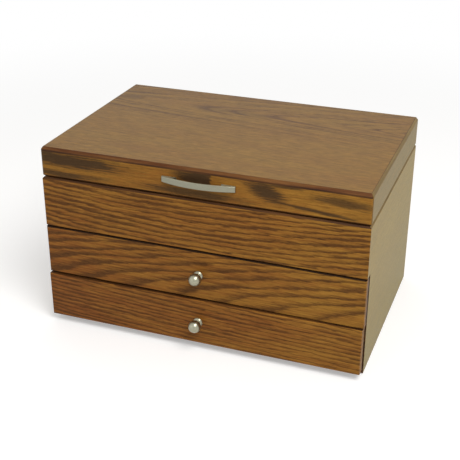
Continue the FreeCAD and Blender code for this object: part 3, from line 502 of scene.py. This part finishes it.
def metalMaterial(name, look):
    # line: size of a scratch in millimetres, by axis
    material, tree = newMaterial(name)
    coordinates = addNode(tree, "TexCoord").outputs["Object"]
    lines = addNode(tree, "Mapping", {
        "Vector": coordinates, "Scale": [1 / (mm * s) for s in look["line"]]})
    brush = addNode(tree, "TexNoise", {"Vector": lines, "Scale": 1.0, "Detail": plate["detail"]})
    tone = addNode(tree, "MapRange", {
        **wideSpan, "Value": brush, "To Min": plate["toneDark"], "To Max": plate["toneLight"]})
    colour = addNode(tree, "VectorMath", {
        0: linearColour(look["colour"])[:3], 1: tone}, operation="MULTIPLY")
    gloss = addNode(tree, "MapRange", {
        **wideSpan, "Value": brush, "To Min": look["roughness"] - plate["smoother"],
        "To Max": look["roughness"] + plate["rougher"]})
    bump = addNode(tree, "Bump", {
        "Height": brush, "Strength": plate["bump"], "Distance": plate["lineDepth"] * mm})
    closeMaterial(tree, addNode(tree, "BsdfPrincipled", {
        "Base Color": colour, "Metallic": 1.0, "Roughness": gloss, "Normal": bump}))
    return material


# Zinc casting with brushed satin nickel plate: warm silver, soft reflections
satinNickel = metalMaterial("brushedSatinNickel",
                            {"colour": "#A09E8A", "roughness": 0.3, "line": (6, 6, 0.3)})
# The same plate on the bow, brushed along its length, with long fine lines; its greyer colour than the
# knobs' is painted shade
shadedBowNickel = metalMaterial("shadedBowNickel",
                                  {"colour": "#8F8D7C", "roughness": 0.3, "line": (16, 16, 0.3)})
# Narrow faces of the bow, plated as cast: dull enough to take in the light from all above, and given a
# lighter colour than the bow's front as painted light
litBowTopNickel = metalMaterial("litBowTopPlating",
                           {"colour": "#A29E86", "roughness": 0.62, "line": (1.5, 1.5, 1.5)})
# Steel sheet, stamped and brass plated: yellow, with short lines along the leaf
platedBrass = metalMaterial("brassPlatedSteel",
                            {"colour": "#C9A85F", "roughness": 0.3, "line": (8, 0.5, 0.5)})
# Steel screws with clear zinc plate: slightly blue and duller
zincSteel = metalMaterial("zincPlatedSteel",
                          {"colour": "#B4B4B0", "roughness": 0.38, "line": (0.6, 0.6, 0.6)})

# Short pile: colour drifts where the pile leans, and the rim of every curve lights up
pile = {"detail": 2.0, "speckDark": 0.82, "speckLight": 1.14, "bump": 0.5, "roughness": 0.9,
        "sheenRoughness": 0.4, "specular": 0.15}


def velvetMaterial(name, look):
    material, tree = newMaterial(name)
    coordinates = inMillimetres(tree)
    lean = addNode(tree, "TexNoise", {
        "Vector": coordinates, "Scale": 1 / look["lean"], "Detail": pile["detail"]})
    drift = addNode(tree, "MapRange", {**middleSpan, "Value": lean})
    ground = addNode(tree, "Mix", {
        "Factor": drift, "A": linearColour(look["light"]), "B": linearColour(look["dark"])},
        data_type="RGBA")
    tufts = addNode(tree, "TexNoise", {
        "Vector": coordinates, "Scale": 1 / look["pile"], "Detail": pile["detail"]})
    speck = addNode(tree, "MapRange", {
        **wideSpan, "Value": tufts, "To Min": pile["speckDark"], "To Max": pile["speckLight"]})
    colour = addNode(tree, "VectorMath", {0: ground, 1: speck}, operation="MULTIPLY")
    bump = addNode(tree, "Bump", {
        "Height": tufts, "Strength": pile["bump"], "Distance": look["pileDepth"] * mm})
    closeMaterial(tree, addNode(tree, "BsdfPrincipled", {
        "Base Color": colour, "Roughness": pile["roughness"], "Sheen Weight": look["sheen"],
        "Sheen Roughness": pile["sheenRoughness"], "Sheen Tint": linearColour(look["sheenColour"]),
        "Specular IOR Level": pile["specular"], "Normal": bump}))
    return material


# Sand-coloured cotton velvet, pile about 1 mm, drawn at 0.7 mm so that it shows
velvet = velvetMaterial("sandVelvet", {"light": "#B79C7C", "dark": "#A08566", "sheen": 0.5, "lean": 22,
                                       "sheenColour": "#F0DEC4", "pile": 0.7, "pileDepth": 0.25})
# Pressed wool felt: matt, slightly hairy, no lean
felt = velvetMaterial("pressedFelt", {"light": "#3C3026", "dark": "#30261E", "sheen": 0.15, "lean": 9,
                                      "sheenColour": "#8C7C6C", "pile": 0.9, "pileDepth": 0.2})

# Silvered float glass: bright and sharp, a trace of green, and faint dust that dulls it here and there
glass = {"colour": "#E6ECE8", "dust": 14, "detail": 4.0, "cleanBelow": 0.4, "dustyAbove": 0.75,
         "clean": 0.015, "dusty": 0.06}
mirrorGlass, tree = newMaterial("silveredFloatGlass")
dust = addNode(tree, "TexNoise", {
    "Vector": inMillimetres(tree), "Scale": 1 / glass["dust"], "Detail": glass["detail"]})
gloss = addNode(tree, "MapRange", {
    "Value": dust, "From Min": glass["cleanBelow"], "From Max": glass["dustyAbove"],
    "To Min": glass["clean"], "To Max": glass["dusty"]})
closeMaterial(tree, addNode(tree, "BsdfPrincipled", {
    "Base Color": linearColour(glass["colour"]), "Metallic": 1.0, "Roughness": gloss}))
print("metal, cloth and glass materials made")


# modelling helpers

def begin(name):
    # names a new primitive and sets its place into its mesh
    piece = bpy.context.object
    piece.name = name
    piece.data.name = name
    bpy.ops.object.transform_apply(location=True, rotation=True, scale=True)
    return piece


def addBoard(name, low, high):
    bpy.ops.object.select_all(action="DESELECT")
    bpy.ops.mesh.primitive_cube_add(size=1, location=(low + high) / 2, scale=high - low)
    return begin(name)


def leaveEdit():
    bpy.ops.object.mode_set(mode="OBJECT")


def pickFaces(piece, test):
    # goes into edit mode with the faces whose middle and normal pass the test selected
    bpy.ops.object.mode_set(mode="EDIT")
    bpy.ops.mesh.select_mode(type="FACE")
    bpy.ops.mesh.select_all(action="DESELECT")
    leaveEdit()
    for face in piece.data.polygons:
        face.select = test(face.center, face.normal)
    bpy.ops.object.mode_set(mode="EDIT")


def pickEdges(piece, test):
    # the same for edges; the test gets both ends
    bpy.ops.object.mode_set(mode="EDIT")
    bpy.ops.mesh.select_mode(type="EDGE")
    bpy.ops.mesh.select_all(action="DESELECT")
    leaveEdit()
    points = piece.data.vertices
    for edge in piece.data.edges:
        edge.select = test(points[edge.vertices[0]].co, points[edge.vertices[1]].co)
    bpy.ops.object.mode_set(mode="EDIT")


def bevelPicked(width, segments=1):
    bpy.ops.mesh.bevel(offset=width * mm, segments=segments, profile=0.5, affect="EDGES")
    leaveEdit()


def extrudePicked(x, y, z):
    bpy.ops.mesh.extrude_region_move(TRANSFORM_OT_translate={"value": (x, y, z)})


def turnOutwards():
    bpy.ops.mesh.select_all(action="SELECT")
    bpy.ops.mesh.normals_make_consistent(inside=False)
    leaveEdit()


# how far apart two places may be that count as one, and how close to an axis a flat face has to look
touch = {"distance": 0.02, "merge": 0.01, "flat": 0.98}


def near(value, level):
    return abs(value - level) < touch["distance"] * mm


def lyingAt(**levels):
    # a test for edges: both ends lie at the given x, y or z
    return lambda a, b: all(near(getattr(end, axis), level) for axis, level in levels.items()
                            for end in (a, b))


def dress(piece, rules):
    # rules: material and a test on the face's middle and normal; the first that passes gives the slot
    for material, _ in rules:
        piece.data.materials.append(material)
    for face in piece.data.polygons:
        passed = [i for i, (_, test) in enumerate(rules) if test(face.center, face.normal)]
        face.material_index = passed[0]


def smooth(angle=30, flats=True):
    # flats: broad faces keep their own normal, so only the rounded edges carry the shading
    bpy.ops.object.shade_smooth_by_angle(angle=math.radians(angle))
    if flats:
        weighted = bpy.context.object.modifiers.new("flatFaces", "WEIGHTED_NORMAL")
        weighted.keep_sharp = True
        bpy.ops.object.modifier_apply(modifier=weighted.name)


def hand(piece, body, slot, *nodes):
    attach(piece, body)
    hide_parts(*nodes)
    return piece


def always(middle, normal):
    return True


def facing(axis, sign):
    return lambda middle, normal: normal[axis] * sign > touch["flat"]


# as the size of a normal's part, how far a face may lean and still be upright, and from where on it counts
# as slanted to a side, as turned to it and as facing mostly that way
upright, slanted, turned, mostly = 0.1, 0.3, 0.5, 0.7


def outerRules(frontVeneer, sideVeneer=veneers["sides"]):
    # veneer on each upright face and its rounded corners, soaked wood (its dark partly painted shade) or
    # core wood on anything slanted
    return [
        (frontVeneer, lambda middle, normal: -normal.y > mostly and abs(normal.z) < upright),
        (veneers["back"], lambda middle, normal: normal.y > mostly and abs(normal.z) < upright),
        (sideVeneer, lambda middle, normal: abs(normal.z) < upright),
        (innerWood, facing(2, -1)),
        (sideEdge, lambda middle, normal: abs(normal.x) > turned),
        (stainSoakedAndShadedEdge, always),
    ]


# lid

# soakedBand: how far below the chamfer the dark edge goes; bandLean, easedLean: the normal's z up to which
# a face belongs to that edge, and from which on it belongs to the eased edge above the chamfer
lid = {"chamferIn": 2, "chamferDown": 2.6, "lowerChamfer": 2, "soften": 0.45, "softenSteps": 2,
       "soakedBand": 1.3, "bandLean": 0.45, "easedLean": 0.8, "cornerRound": 2.4, "cornerSteps": 4}
lidLow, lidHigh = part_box("lid_top_panel")
chamferFoot = lidHigh.z - lid["chamferDown"] * mm
bandFoot = chamferFoot - lid["soakedBand"] * mm
lidTop = addBoard("lidTop", lidLow, lidHigh)
pickEdges(lidTop, lambda a, b: near(a.x, b.x) and near(a.y, b.y))
bevelPicked(lid["cornerRound"], lid["cornerSteps"])
pickEdges(lidTop, lyingAt(z=lidHigh.z))
bevelPicked(lid["chamferIn"])
pickEdges(lidTop, lyingAt(z=lidHigh.z - lid["chamferIn"] * mm))
bpy.ops.transform.translate(value=(0, 0, (lid["chamferIn"] - lid["chamferDown"]) * mm))
leaveEdit()
pickEdges(lidTop, lambda a, b: near(a.z, b.z) and min(a.z, b.z) > chamferFoot - touch["merge"] * mm)
bevelPicked(lid["soften"], lid["softenSteps"])
pickFaces(lidTop, always)
bpy.ops.mesh.bisect(plane_co=(0, 0, bandFoot), plane_no=(0, 0, 1))
leaveEdit()
dress(lidTop, [(veneers["lidTop"], facing(2, 1)),
               (stainSoakedAndShadedEdge, lambda middle, normal: middle.z > bandFoot and abs(normal.z) < lid["bandLean"]
                and abs(normal.x) < mostly),
               (stainSoakedAndShadedEdge, lambda middle, normal: normal.z > lid["easedLean"]),
               (coreWood, lambda middle, normal: normal.z > slanted and abs(normal.x) < turned)]
      + outerRules(veneers["lidFront"], veneers["lidSides"]))
smooth()
hand(lidTop, "lid", "stained_oak", "lid_top_panel")


def roundEnds(piece):
    # cuts the lid's outer corners to the same arc as its top, one flat at a time
    corner = lid["cornerRound"] * mm
    stepAngle = math.pi / 2 / lid["cornerSteps"]
    pickFaces(piece, always)
    for signX, signY in ((-1, -1), (1, -1), (-1, 1), (1, 1)):
        centre = Vector((signX * (lidHigh.x - corner), signY * (lidHigh.y - corner), 0))
        for step in range(lid["cornerSteps"]):
            angle = (step + 0.5) * stepAngle
            outward = Vector((signX * math.cos(angle), signY * math.sin(angle), 0))
            bpy.ops.mesh.select_all(action="SELECT")
            bpy.ops.mesh.bisect(plane_co=centre + outward * corner * math.cos(stepAngle / 2),
                                plane_no=outward, use_fill=True, clear_outer=True)
    leaveEdit()


def mitredBoard(name, low, high, axis, sign):
    # a board whose inner face is narrowed at both ends for the mitres; its outer face looks along the axis
    piece = addBoard(name, low, high)
    along, thickness = 1 - axis, (high - low)[axis]
    narrowing = Vector((1, 1, 1))
    narrowing[along] = ((high - low)[along] - 2 * thickness) / (high - low)[along]
    pickFaces(piece, facing(axis, -sign))
    bpy.ops.transform.resize(value=narrowing, center_override=(low + high) / 2)
    leaveEdit()
    return piece


# name, node, axis that the outer face looks along, and which way
lidRails = (
    ("lidFrontRail", "lid_front_rail", 1, -1),
    ("lidBackRail", "lid_back_rail", 1, 1),
    ("lidLeftRail", "lid_left_rail", 0, -1),
    ("lidRightRail", "lid_right_rail", 0, 1),
)
for name, node, axis, sign in lidRails:
    low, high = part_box(node)
    rail = mitredBoard(name, low, high, axis, sign)
    pickEdges(rail, lyingAt(**{"xy"[axis]: (high if sign > 0 else low)[axis], "z": low.z}))
    bevelPicked(lid["lowerChamfer"])
    roundEnds(rail)
    dress(rail, outerRules(veneers["lidFront"], veneers["lidSides"]))
    smooth()
    hand(rail, "lid", "stained_oak", node)
print("lid made")


# case

case = {"topChamfer": 1.5}


def addSide(name, node, sign):
    # outline of the outer face, its front edge set back below, then thickened and mitred at the upper front
    low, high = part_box(node)
    outer, inner = (high.x, low.x) if sign > 0 else (low.x, high.x)
    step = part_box("upper_front_panel")[0].z
    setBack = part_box("base_panel")[0].y
    centre = (outer, (setBack + high.y) / 2, (step + high.z) / 2)
    bpy.ops.object.select_all(action="DESELECT")
    bpy.ops.mesh.primitive_plane_add(size=1, rotation=(0, math.radians(90), 0), location=centre)
    piece = begin(name)
    pickFaces(piece, always)
    bpy.ops.transform.resize(value=(1, high.y - setBack, high.z - step), center_override=centre)
    leaveEdit()
    pickEdges(piece, lyingAt(z=step))
    extrudePicked(0, 0, low.z - step)
    leaveEdit()
    pickEdges(piece, lambda a, b: near(a.y, setBack) and near(b.y, setBack) and max(a.z, b.z) > step + mm)
    extrudePicked(0, low.y - setBack, 0)
    leaveEdit()
    pickFaces(piece, always)
    extrudePicked(inner - outer, 0, 0)
    turnOutwards()
    pickEdges(piece, lyingAt(x=inner, y=low.y))
    bpy.ops.transform.translate(value=(0, abs(inner - outer), 0))
    leaveEdit()
    pickEdges(piece, lyingAt(x=outer, z=high.z))
    bevelPicked(case["topChamfer"])
    return piece


for name, node, sign in (("caseLeft", "left_side_panel", -1), ("caseRight", "right_side_panel", 1)):
    side = addSide(name, node, sign)
    # the sides' front edges, seen in the gaps beside the drawer fronts, take the soaked edge: partly
    # painted shade
    dress(side, outerRules(stainSoakedAndShadedEdge))
    smooth()
    hand(side, "case", "stained_oak", node)

frontLow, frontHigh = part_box("upper_front_panel")
upperFront = mitredBoard("upperFront", frontLow, frontHigh, 1, -1)
pickEdges(upperFront, lyingAt(y=frontLow.y, z=frontHigh.z))
bevelPicked(case["topChamfer"])
# the upper front's underside, over the drawer's gap, is painted shadow
dress(upperFront, [(paintedGapShadow, facing(2, -1))] + outerRules(veneers["upperFront"]))
smooth()
hand(upperFront, "case", "stained_oak", "upper_front_panel")

backLow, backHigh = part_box("back_panel")
caseBack = addBoard("caseBack", backLow, backHigh)
pickEdges(caseBack, lyingAt(y=backHigh.y, z=backHigh.z))
bevelPicked(case["topChamfer"])
dress(caseBack, outerRules(innerWood))
smooth()
hand(caseBack, "case", "stained_oak", "back_panel")
print("case made")


# drawer fronts

# rises: how much higher the board's upper edge stands at its right end; veneerTo: how far round its edges
# the veneer goes before the soaked, partly painted-shade part starts, as the y of the normal (at the ends
# it always goes as far as endVeneerTo); lip: how deep the clean sawn part of each end is, soaked wood with
# painted gap shade lies behind it
endVeneerTo = -0.15
drawerFronts = {
    "upperDrawerFront": {"node": "upper_drawer_front", "body": "upper_drawer", "face": "upperDrawer",
                         "round": 1.2, "segments": 4, "rises": 0.0, "veneerTo": -0.9, "lip": 5.2,
                         "edge": paintedGapShadow, "smooth": 40},
    "lowerDrawerFront": {"node": "lower_drawer_front", "body": "lower_drawer", "face": "lowerDrawer",
                         "round": 1.2, "segments": 4, "rises": 1.1, "veneerTo": -0.5, "lip": 7.5,
                         "edge": stainSoakedAndShadedEdge, "smooth": 40},
}
for name, board in drawerFronts.items():
    low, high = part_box(board["node"])
    piece = addBoard(name, low, high)
    pickEdges(piece, lyingAt(x=high.x, z=high.z))
    bpy.ops.transform.translate(value=(0, 0, board["rises"] * mm))
    leaveEdit()
    pickEdges(piece, lambda a, b: near(a.y, b.y))
    bevelPicked(board["round"], board["segments"])
    lipEnd = low.y + board["lip"] * mm
    pickFaces(piece, always)
    bpy.ops.mesh.bisect(plane_co=(0, lipEnd, 0), plane_no=(0, 1, 0))
    leaveEdit()
    face = veneers[board["face"]]
    dress(piece, [(face, lambda middle, normal: normal.y < board["veneerTo"]),
                  (face, lambda middle, normal: abs(normal.x) > slanted and normal.y < endVeneerTo),
                  (innerWood, lambda middle, normal: normal.y > slanted),
                  (sawnEdge, lambda middle, normal: abs(normal.x) > slanted and middle.y < lipEnd),
                  (stainSoakedAndShadedEdge, lambda middle, normal: abs(normal.x) > slanted),
                  (board["edge"], always)])
    smooth(board["smooth"])
    hand(piece, board["body"], "stained_oak", board["node"])
print("drawer fronts made")


# handle and knobs

# Bow handle: a flat strip with rounded edges, bent to an arc between two feet whose inner ends slant to
# the lid's face; one half is made, then mirrored. castAndLitFrom: the normal's z from which a face is as
# cast and painted lighter.
pull = {"strip": 1.6, "endThickness": 1.7, "foot": 8.5, "tongue": 13, "spare": 2, "steps": 22,
        "soften": 0.8, "softenSteps": 4, "castAndLitFrom": 0.97, "smooth": 35}
pullLow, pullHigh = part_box("lid_pull")
pullMiddle = (pullLow + pullHigh) / 2
halfPull = (pullHigh.x - pullLow.x) / 2
sag = pullHigh.y - pullLow.y - pull["endThickness"] * mm
outerRadius = (halfPull ** 2 + sag ** 2) / (2 * sag)
arcCentre = (0, pullLow.y + outerRadius, pullMiddle.z)
sweep = math.asin((halfPull + pull["spare"] * mm) / outerRadius)
sectionMiddle = (0, pullLow.y + pull["strip"] * mm / 2, pullMiddle.z)
bpy.ops.object.select_all(action="DESELECT")
bpy.ops.mesh.primitive_plane_add(size=1, rotation=(0, math.radians(90), 0), location=sectionMiddle)
lidPull = begin("lidPull")
pickFaces(lidPull, always)
bpy.ops.transform.resize(value=(1, pull["strip"] * mm, pullHigh.z - pullLow.z),
                         center_override=sectionMiddle)
bpy.ops.mesh.spin(steps=pull["steps"], angle=-sweep, center=arcCentre, axis=(0, 0, 1), dupli=False)
leaveEdit()
pickFaces(lidPull, lambda middle, normal: near(middle.x, 0) and abs(normal.x) > touch["flat"])
bpy.ops.mesh.delete(type="ONLY_FACE")
footStart = halfPull - pull["foot"] * mm
for cutX, keepAll in ((halfPull, False), (footStart, True)):
    bpy.ops.mesh.select_all(action="SELECT")
    bpy.ops.mesh.bisect(plane_co=(cutX, 0, 0), plane_no=(1, 0, 0), use_fill=not keepAll,
                        clear_outer=not keepAll)
turnOutwards()
pickFaces(lidPull, lambda middle, normal: normal.y > turned and middle.x > footStart)
extrudePicked(0, 0, 0)
bpy.ops.transform.resize(value=(1, 0, 1), center_override=(0, pullHigh.y, 0))
leaveEdit()
pickEdges(lidPull, lyingAt(x=footStart, y=pullHigh.y))
bpy.ops.transform.translate(value=((pull["foot"] - pull["tongue"]) * mm, 0, 0))
leaveEdit()
mirror = lidPull.modifiers.new("otherHalf", "MIRROR")
mirror.use_clip = True
bpy.ops.object.modifier_apply(modifier=mirror.name)
pickFaces(lidPull, always)
bpy.ops.mesh.remove_doubles(threshold=touch["merge"] * mm)
turnOutwards()


def onFront(point):
    return near(math.dist(point.xy, arcCentre[:2]), outerRadius)


pickEdges(lidPull, lambda a, b: near(a.z, b.z) and onFront(a) and onFront(b))
bevelPicked(pull["soften"], pull["softenSteps"])
pickFaces(lidPull, always)
bpy.ops.transform.translate(value=(pullMiddle.x, 0, 0))
leaveEdit()
# the flat top and bottom faces take the lighter, painted-light copy of the plate
dress(lidPull, [(litBowTopNickel, lambda middle, normal: abs(normal.z) > pull["castAndLitFrom"]),
                (shadedBowNickel, always)])
smooth(pull["smooth"])
hand(lidPull, "lid", "satin_nickel", "lid_pull")

# Turned knob: rim, domed foot, short neck and ball, as radii at distances from the drawer's face
knob = {"rim": ((0.0, 4.25), (0.15, 4.5), (0.4, 4.6), (0.75, 4.6), (0.95, 4.45)), "flareEnd": 2.7,
        "neck": 2.3, "dome": 0.5, "ballMiddle": 8.3, "ballRadius": 5.8, "sides": 48, "flareSteps": 6,
        "ballSteps": 20, "smooth": 35}


def knobProfile():
    profile = list(knob["rim"])
    flareStart, wide = profile[-1]
    for step in range(1, knob["flareSteps"] + 1):
        part = step / knob["flareSteps"]
        swell = knob["dome"] * math.sin(part * math.pi)
        profile.append((flareStart + (knob["flareEnd"] - flareStart) * part,
                        wide + (knob["neck"] - wide) * part + swell))
    start = math.asin(knob["neck"] / knob["ballRadius"])
    for step in range(knob["ballSteps"]):
        angle = start + (math.pi - start) * step / (knob["ballSteps"] - 0.5)
        profile.append((knob["ballMiddle"] - knob["ballRadius"] * math.cos(angle),
                        knob["ballRadius"] * math.sin(angle)))
    return profile


def turn(name, centre, profile, sides):
    # a disc drawn out step by step towards the front, as on a lathe
    bpy.ops.object.select_all(action="DESELECT")
    bpy.ops.mesh.primitive_circle_add(vertices=sides, radius=profile[0][1] * mm, fill_type="NGON",
                                      rotation=(math.radians(90), 0, 0), location=centre)
    piece = begin(name)
    pickFaces(piece, always)
    distance, radius = profile[0]
    for nextDistance, nextRadius in profile[1:]:
        extrudePicked(0, (distance - nextDistance) * mm, 0)
        ratio = nextRadius / radius
        bpy.ops.transform.resize(value=(ratio, 1, ratio), center_override=centre)
        distance, radius = nextDistance, nextRadius
    turnOutwards()
    return piece


for name, body in (("upperDrawerKnob", "upper_drawer"), ("lowerDrawerKnob", "lower_drawer")):
    low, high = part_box(body + "_knob")
    piece = turn(name, (0, high.y, (low.z + high.z) / 2), knobProfile(), knob["sides"])
    piece.data.materials.append(satinNickel)
    smooth(knob["smooth"])
    hand(piece, body, "satin_nickel", body + "_knob")
print("handle and knobs made")


# mirror, linings, dividers and felt

mirrorBevel = 1.5
mirrorLow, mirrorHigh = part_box("lid_mirror")
lidMirror = addBoard("lidMirror", mirrorLow, mirrorHigh)
pickEdges(lidMirror, lyingAt(z=mirrorLow.z))
bevelPicked(mirrorBevel)
lidMirror.data.materials.append(mirrorGlass)
hand(lidMirror, "lid", "mirror_glass", "lid_mirror")


# edge radius of the tray's wall lining and of the felt, steps of a rounded edge, angle that is still smooth
wrap = {"wallRound": 0.8, "feltRound": 0.3, "segments": 4, "smooth": 60}


def wrapped(name, low, high, roundness, material=velvet):
    # a board wrapped in cloth: every edge rounded
    piece = addBoard(name, low, high)
    pickEdges(piece, lambda a, b: True)
    bevelPicked(roundness, wrap["segments"])
    piece.data.materials.append(material)
    smooth(wrap["smooth"])
    return piece


# name, node, body, edge radius in millimetres
wrappedBoards = (
    ("trayFloorLining", "tray_floor_lining", "case", 0.6),
    ("trayLongDivider", "tray_long_divider", "case", 1.7),
    ("trayCrossDivider", "tray_cross_divider", "case", 1.7),
    ("lidLining", "lid_lining", "lid", 0.8),
    ("upperDrawerLining", "upper_drawer_lining", "upper_drawer", 0.7),
    ("lowerDrawerLining", "lower_drawer_lining", "lower_drawer", 0.7),
    ("lowerDrawerDivider", "lower_drawer_divider", "lower_drawer", 1.7),
)
for name, node, body, roundness in wrappedBoards:
    hand(wrapped(name, *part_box(node), roundness), body, "velvet", node)

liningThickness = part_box("tray_floor_lining")[1].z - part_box("tray_floor_lining")[0].z
wallLow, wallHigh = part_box("tray_wall_lining")
inset = Vector((liningThickness, liningThickness, 0))
innerLow, innerHigh = wallLow + inset, wallHigh - inset
wallParts = (
    ("trayWallLining", wallLow, Vector((wallHigh.x, innerLow.y, wallHigh.z))),
    ("backWall", Vector((wallLow.x, innerHigh.y, wallLow.z)), wallHigh),
    ("leftWall", Vector((wallLow.x, innerLow.y, wallLow.z)), Vector((innerLow.x, innerHigh.y, wallHigh.z))),
    ("rightWall", Vector((innerHigh.x, innerLow.y, wallLow.z)),
     Vector((wallHigh.x, innerHigh.y, wallHigh.z))),
)
walls = [wrapped(name, low, high, wrap["wallRound"]) for name, low, high in wallParts]
for wall in walls:
    wall.select_set(True)
bpy.context.view_layer.objects.active = walls[0]
bpy.ops.object.join()
hand(walls[0], "case", "velvet", "tray_wall_lining")
hand(wrapped("baseFelt", *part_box("base_felt"), wrap["feltRound"], felt), "case", "felt", "base_felt")
print("linings made")


# ring rolls

# Foam rolls sewn into velvet: a slim blank is blown up as cloth and held inside the roll's own space
roll = {"slim": 0.9, "crownRound": 9.0, "crownSegments": 6, "footRound": 2.5, "footSegments": 2,
        "voxel": 3.2, "pressure": 4.0, "quality": 5, "frames": 20, "cap": 1.6, "clear": 0.12, "fill": 0.9}


def inflate(piece, low, high):
    rest = [vertex.co.copy() for vertex in piece.data.vertices]
    cloth = piece.modifiers.new("stuffing", "CLOTH")
    cloth.settings.use_pressure = True
    cloth.settings.uniform_pressure_force = roll["pressure"]
    cloth.settings.effector_weights.gravity = 0
    cloth.settings.quality = roll["quality"]
    cloth.point_cache.frame_start, cloth.point_cache.frame_end = 1, roll["frames"]
    for number in range(1, roll["frames"] + 1):
        scene.frame_set(number)
    bpy.ops.object.modifier_apply(modifier=cloth.name)
    scene.frame_set(1)
    spare = roll["clear"] * mm
    for vertex, start in zip(piece.data.vertices, rest):
        shift = vertex.co - start
        if shift.length > roll["cap"] * mm:
            shift = shift.normalized() * roll["cap"] * mm
        vertex.co = [min(max(s + d, a + spare), b - spare) for s, d, a, b in zip(start, shift, low, high)]


def addRoll(name, node):
    low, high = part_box(node)
    slim = Vector((roll["slim"] * mm,) * 3)
    piece = addBoard(name, low + slim, high - slim)
    pickEdges(piece, lambda a, b: near(a.z, b.z) and near(a.y, b.y) and a.z > (low.z + high.z) / 2)
    bevelPicked(roll["crownRound"], roll["crownSegments"])
    pickEdges(piece, lambda a, b: near(a.z, b.z) and near(a.y, b.y) and near(a.z, low.z + slim.z))
    bevelPicked(roll["footRound"], roll["footSegments"])
    remesh = piece.modifiers.new("evenMesh", "REMESH")
    remesh.mode, remesh.voxel_size = "VOXEL", roll["voxel"] * mm
    bpy.ops.object.modifier_apply(modifier=remesh.name)
    inflate(piece, low, high)
    finer = piece.modifiers.new("finer", "SUBSURF")
    finer.levels = finer.render_levels = 1
    bpy.ops.object.modifier_apply(modifier=finer.name)
    piece.data.materials.append(velvet)
    smooth(wrap["smooth"])
    return piece


def rowOfRolls(prefix, nodePrefix, body):
    nodes = sorted(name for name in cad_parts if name.startswith(nodePrefix))
    first = addRoll(prefix + "1", nodes[0])
    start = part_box(nodes[0])[0]
    rolls = [first]
    for number, node in enumerate(nodes[1:], start=2):
        copy = first.copy()
        copy.data = first.data.copy()
        copy.name = copy.data.name = prefix + str(number)
        scene.collection.objects.link(copy)
        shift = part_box(node)[0] - start
        for vertex in copy.data.vertices:
            vertex.co += shift
        rolls.append(copy)
    for piece, node in zip(rolls, nodes):
        hand(piece, body, "velvet", node)


rowOfRolls("trayRingRoll", "tray_ring_roll_", "case")
rowOfRolls("upperDrawerRingRoll", "upper_drawer_ring_roll_", "upper_drawer")
print("ring rolls made")


# finishes of the pieces that keep their own shape

finishes = {
    "base_panel": innerFlatWood, "drawer_shelf": innerFlatWood, "tray_floor": innerFlatWood,
    "left_hinge_case_leaf": platedBrass, "right_hinge_case_leaf": platedBrass,
    "left_hinge_lid_leaf": platedBrass, "right_hinge_lid_leaf": platedBrass, "hinge_pins": platedBrass,
    "case_hinge_screws": zincSteel, "lid_hinge_screws": zincSteel, "lid_pull_screws": zincSteel,
}
for drawer in ("upper_drawer", "lower_drawer"):
    finishes[drawer + "_inner_front"] = finishes[drawer + "_back"] = innerWood
    finishes[drawer + "_left_side"] = finishes[drawer + "_right_side"] = innerSideWood
    finishes[drawer + "_bottom"] = innerFlatWood
    finishes[drawer + "_knob_screw"] = zincSteel
for node, material in finishes.items():
    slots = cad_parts[node].data.materials
    slots.clear()
    slots.append(material)
print("finishes given to", len(finishes), "nodes")


# sizes and the end

low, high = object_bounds()
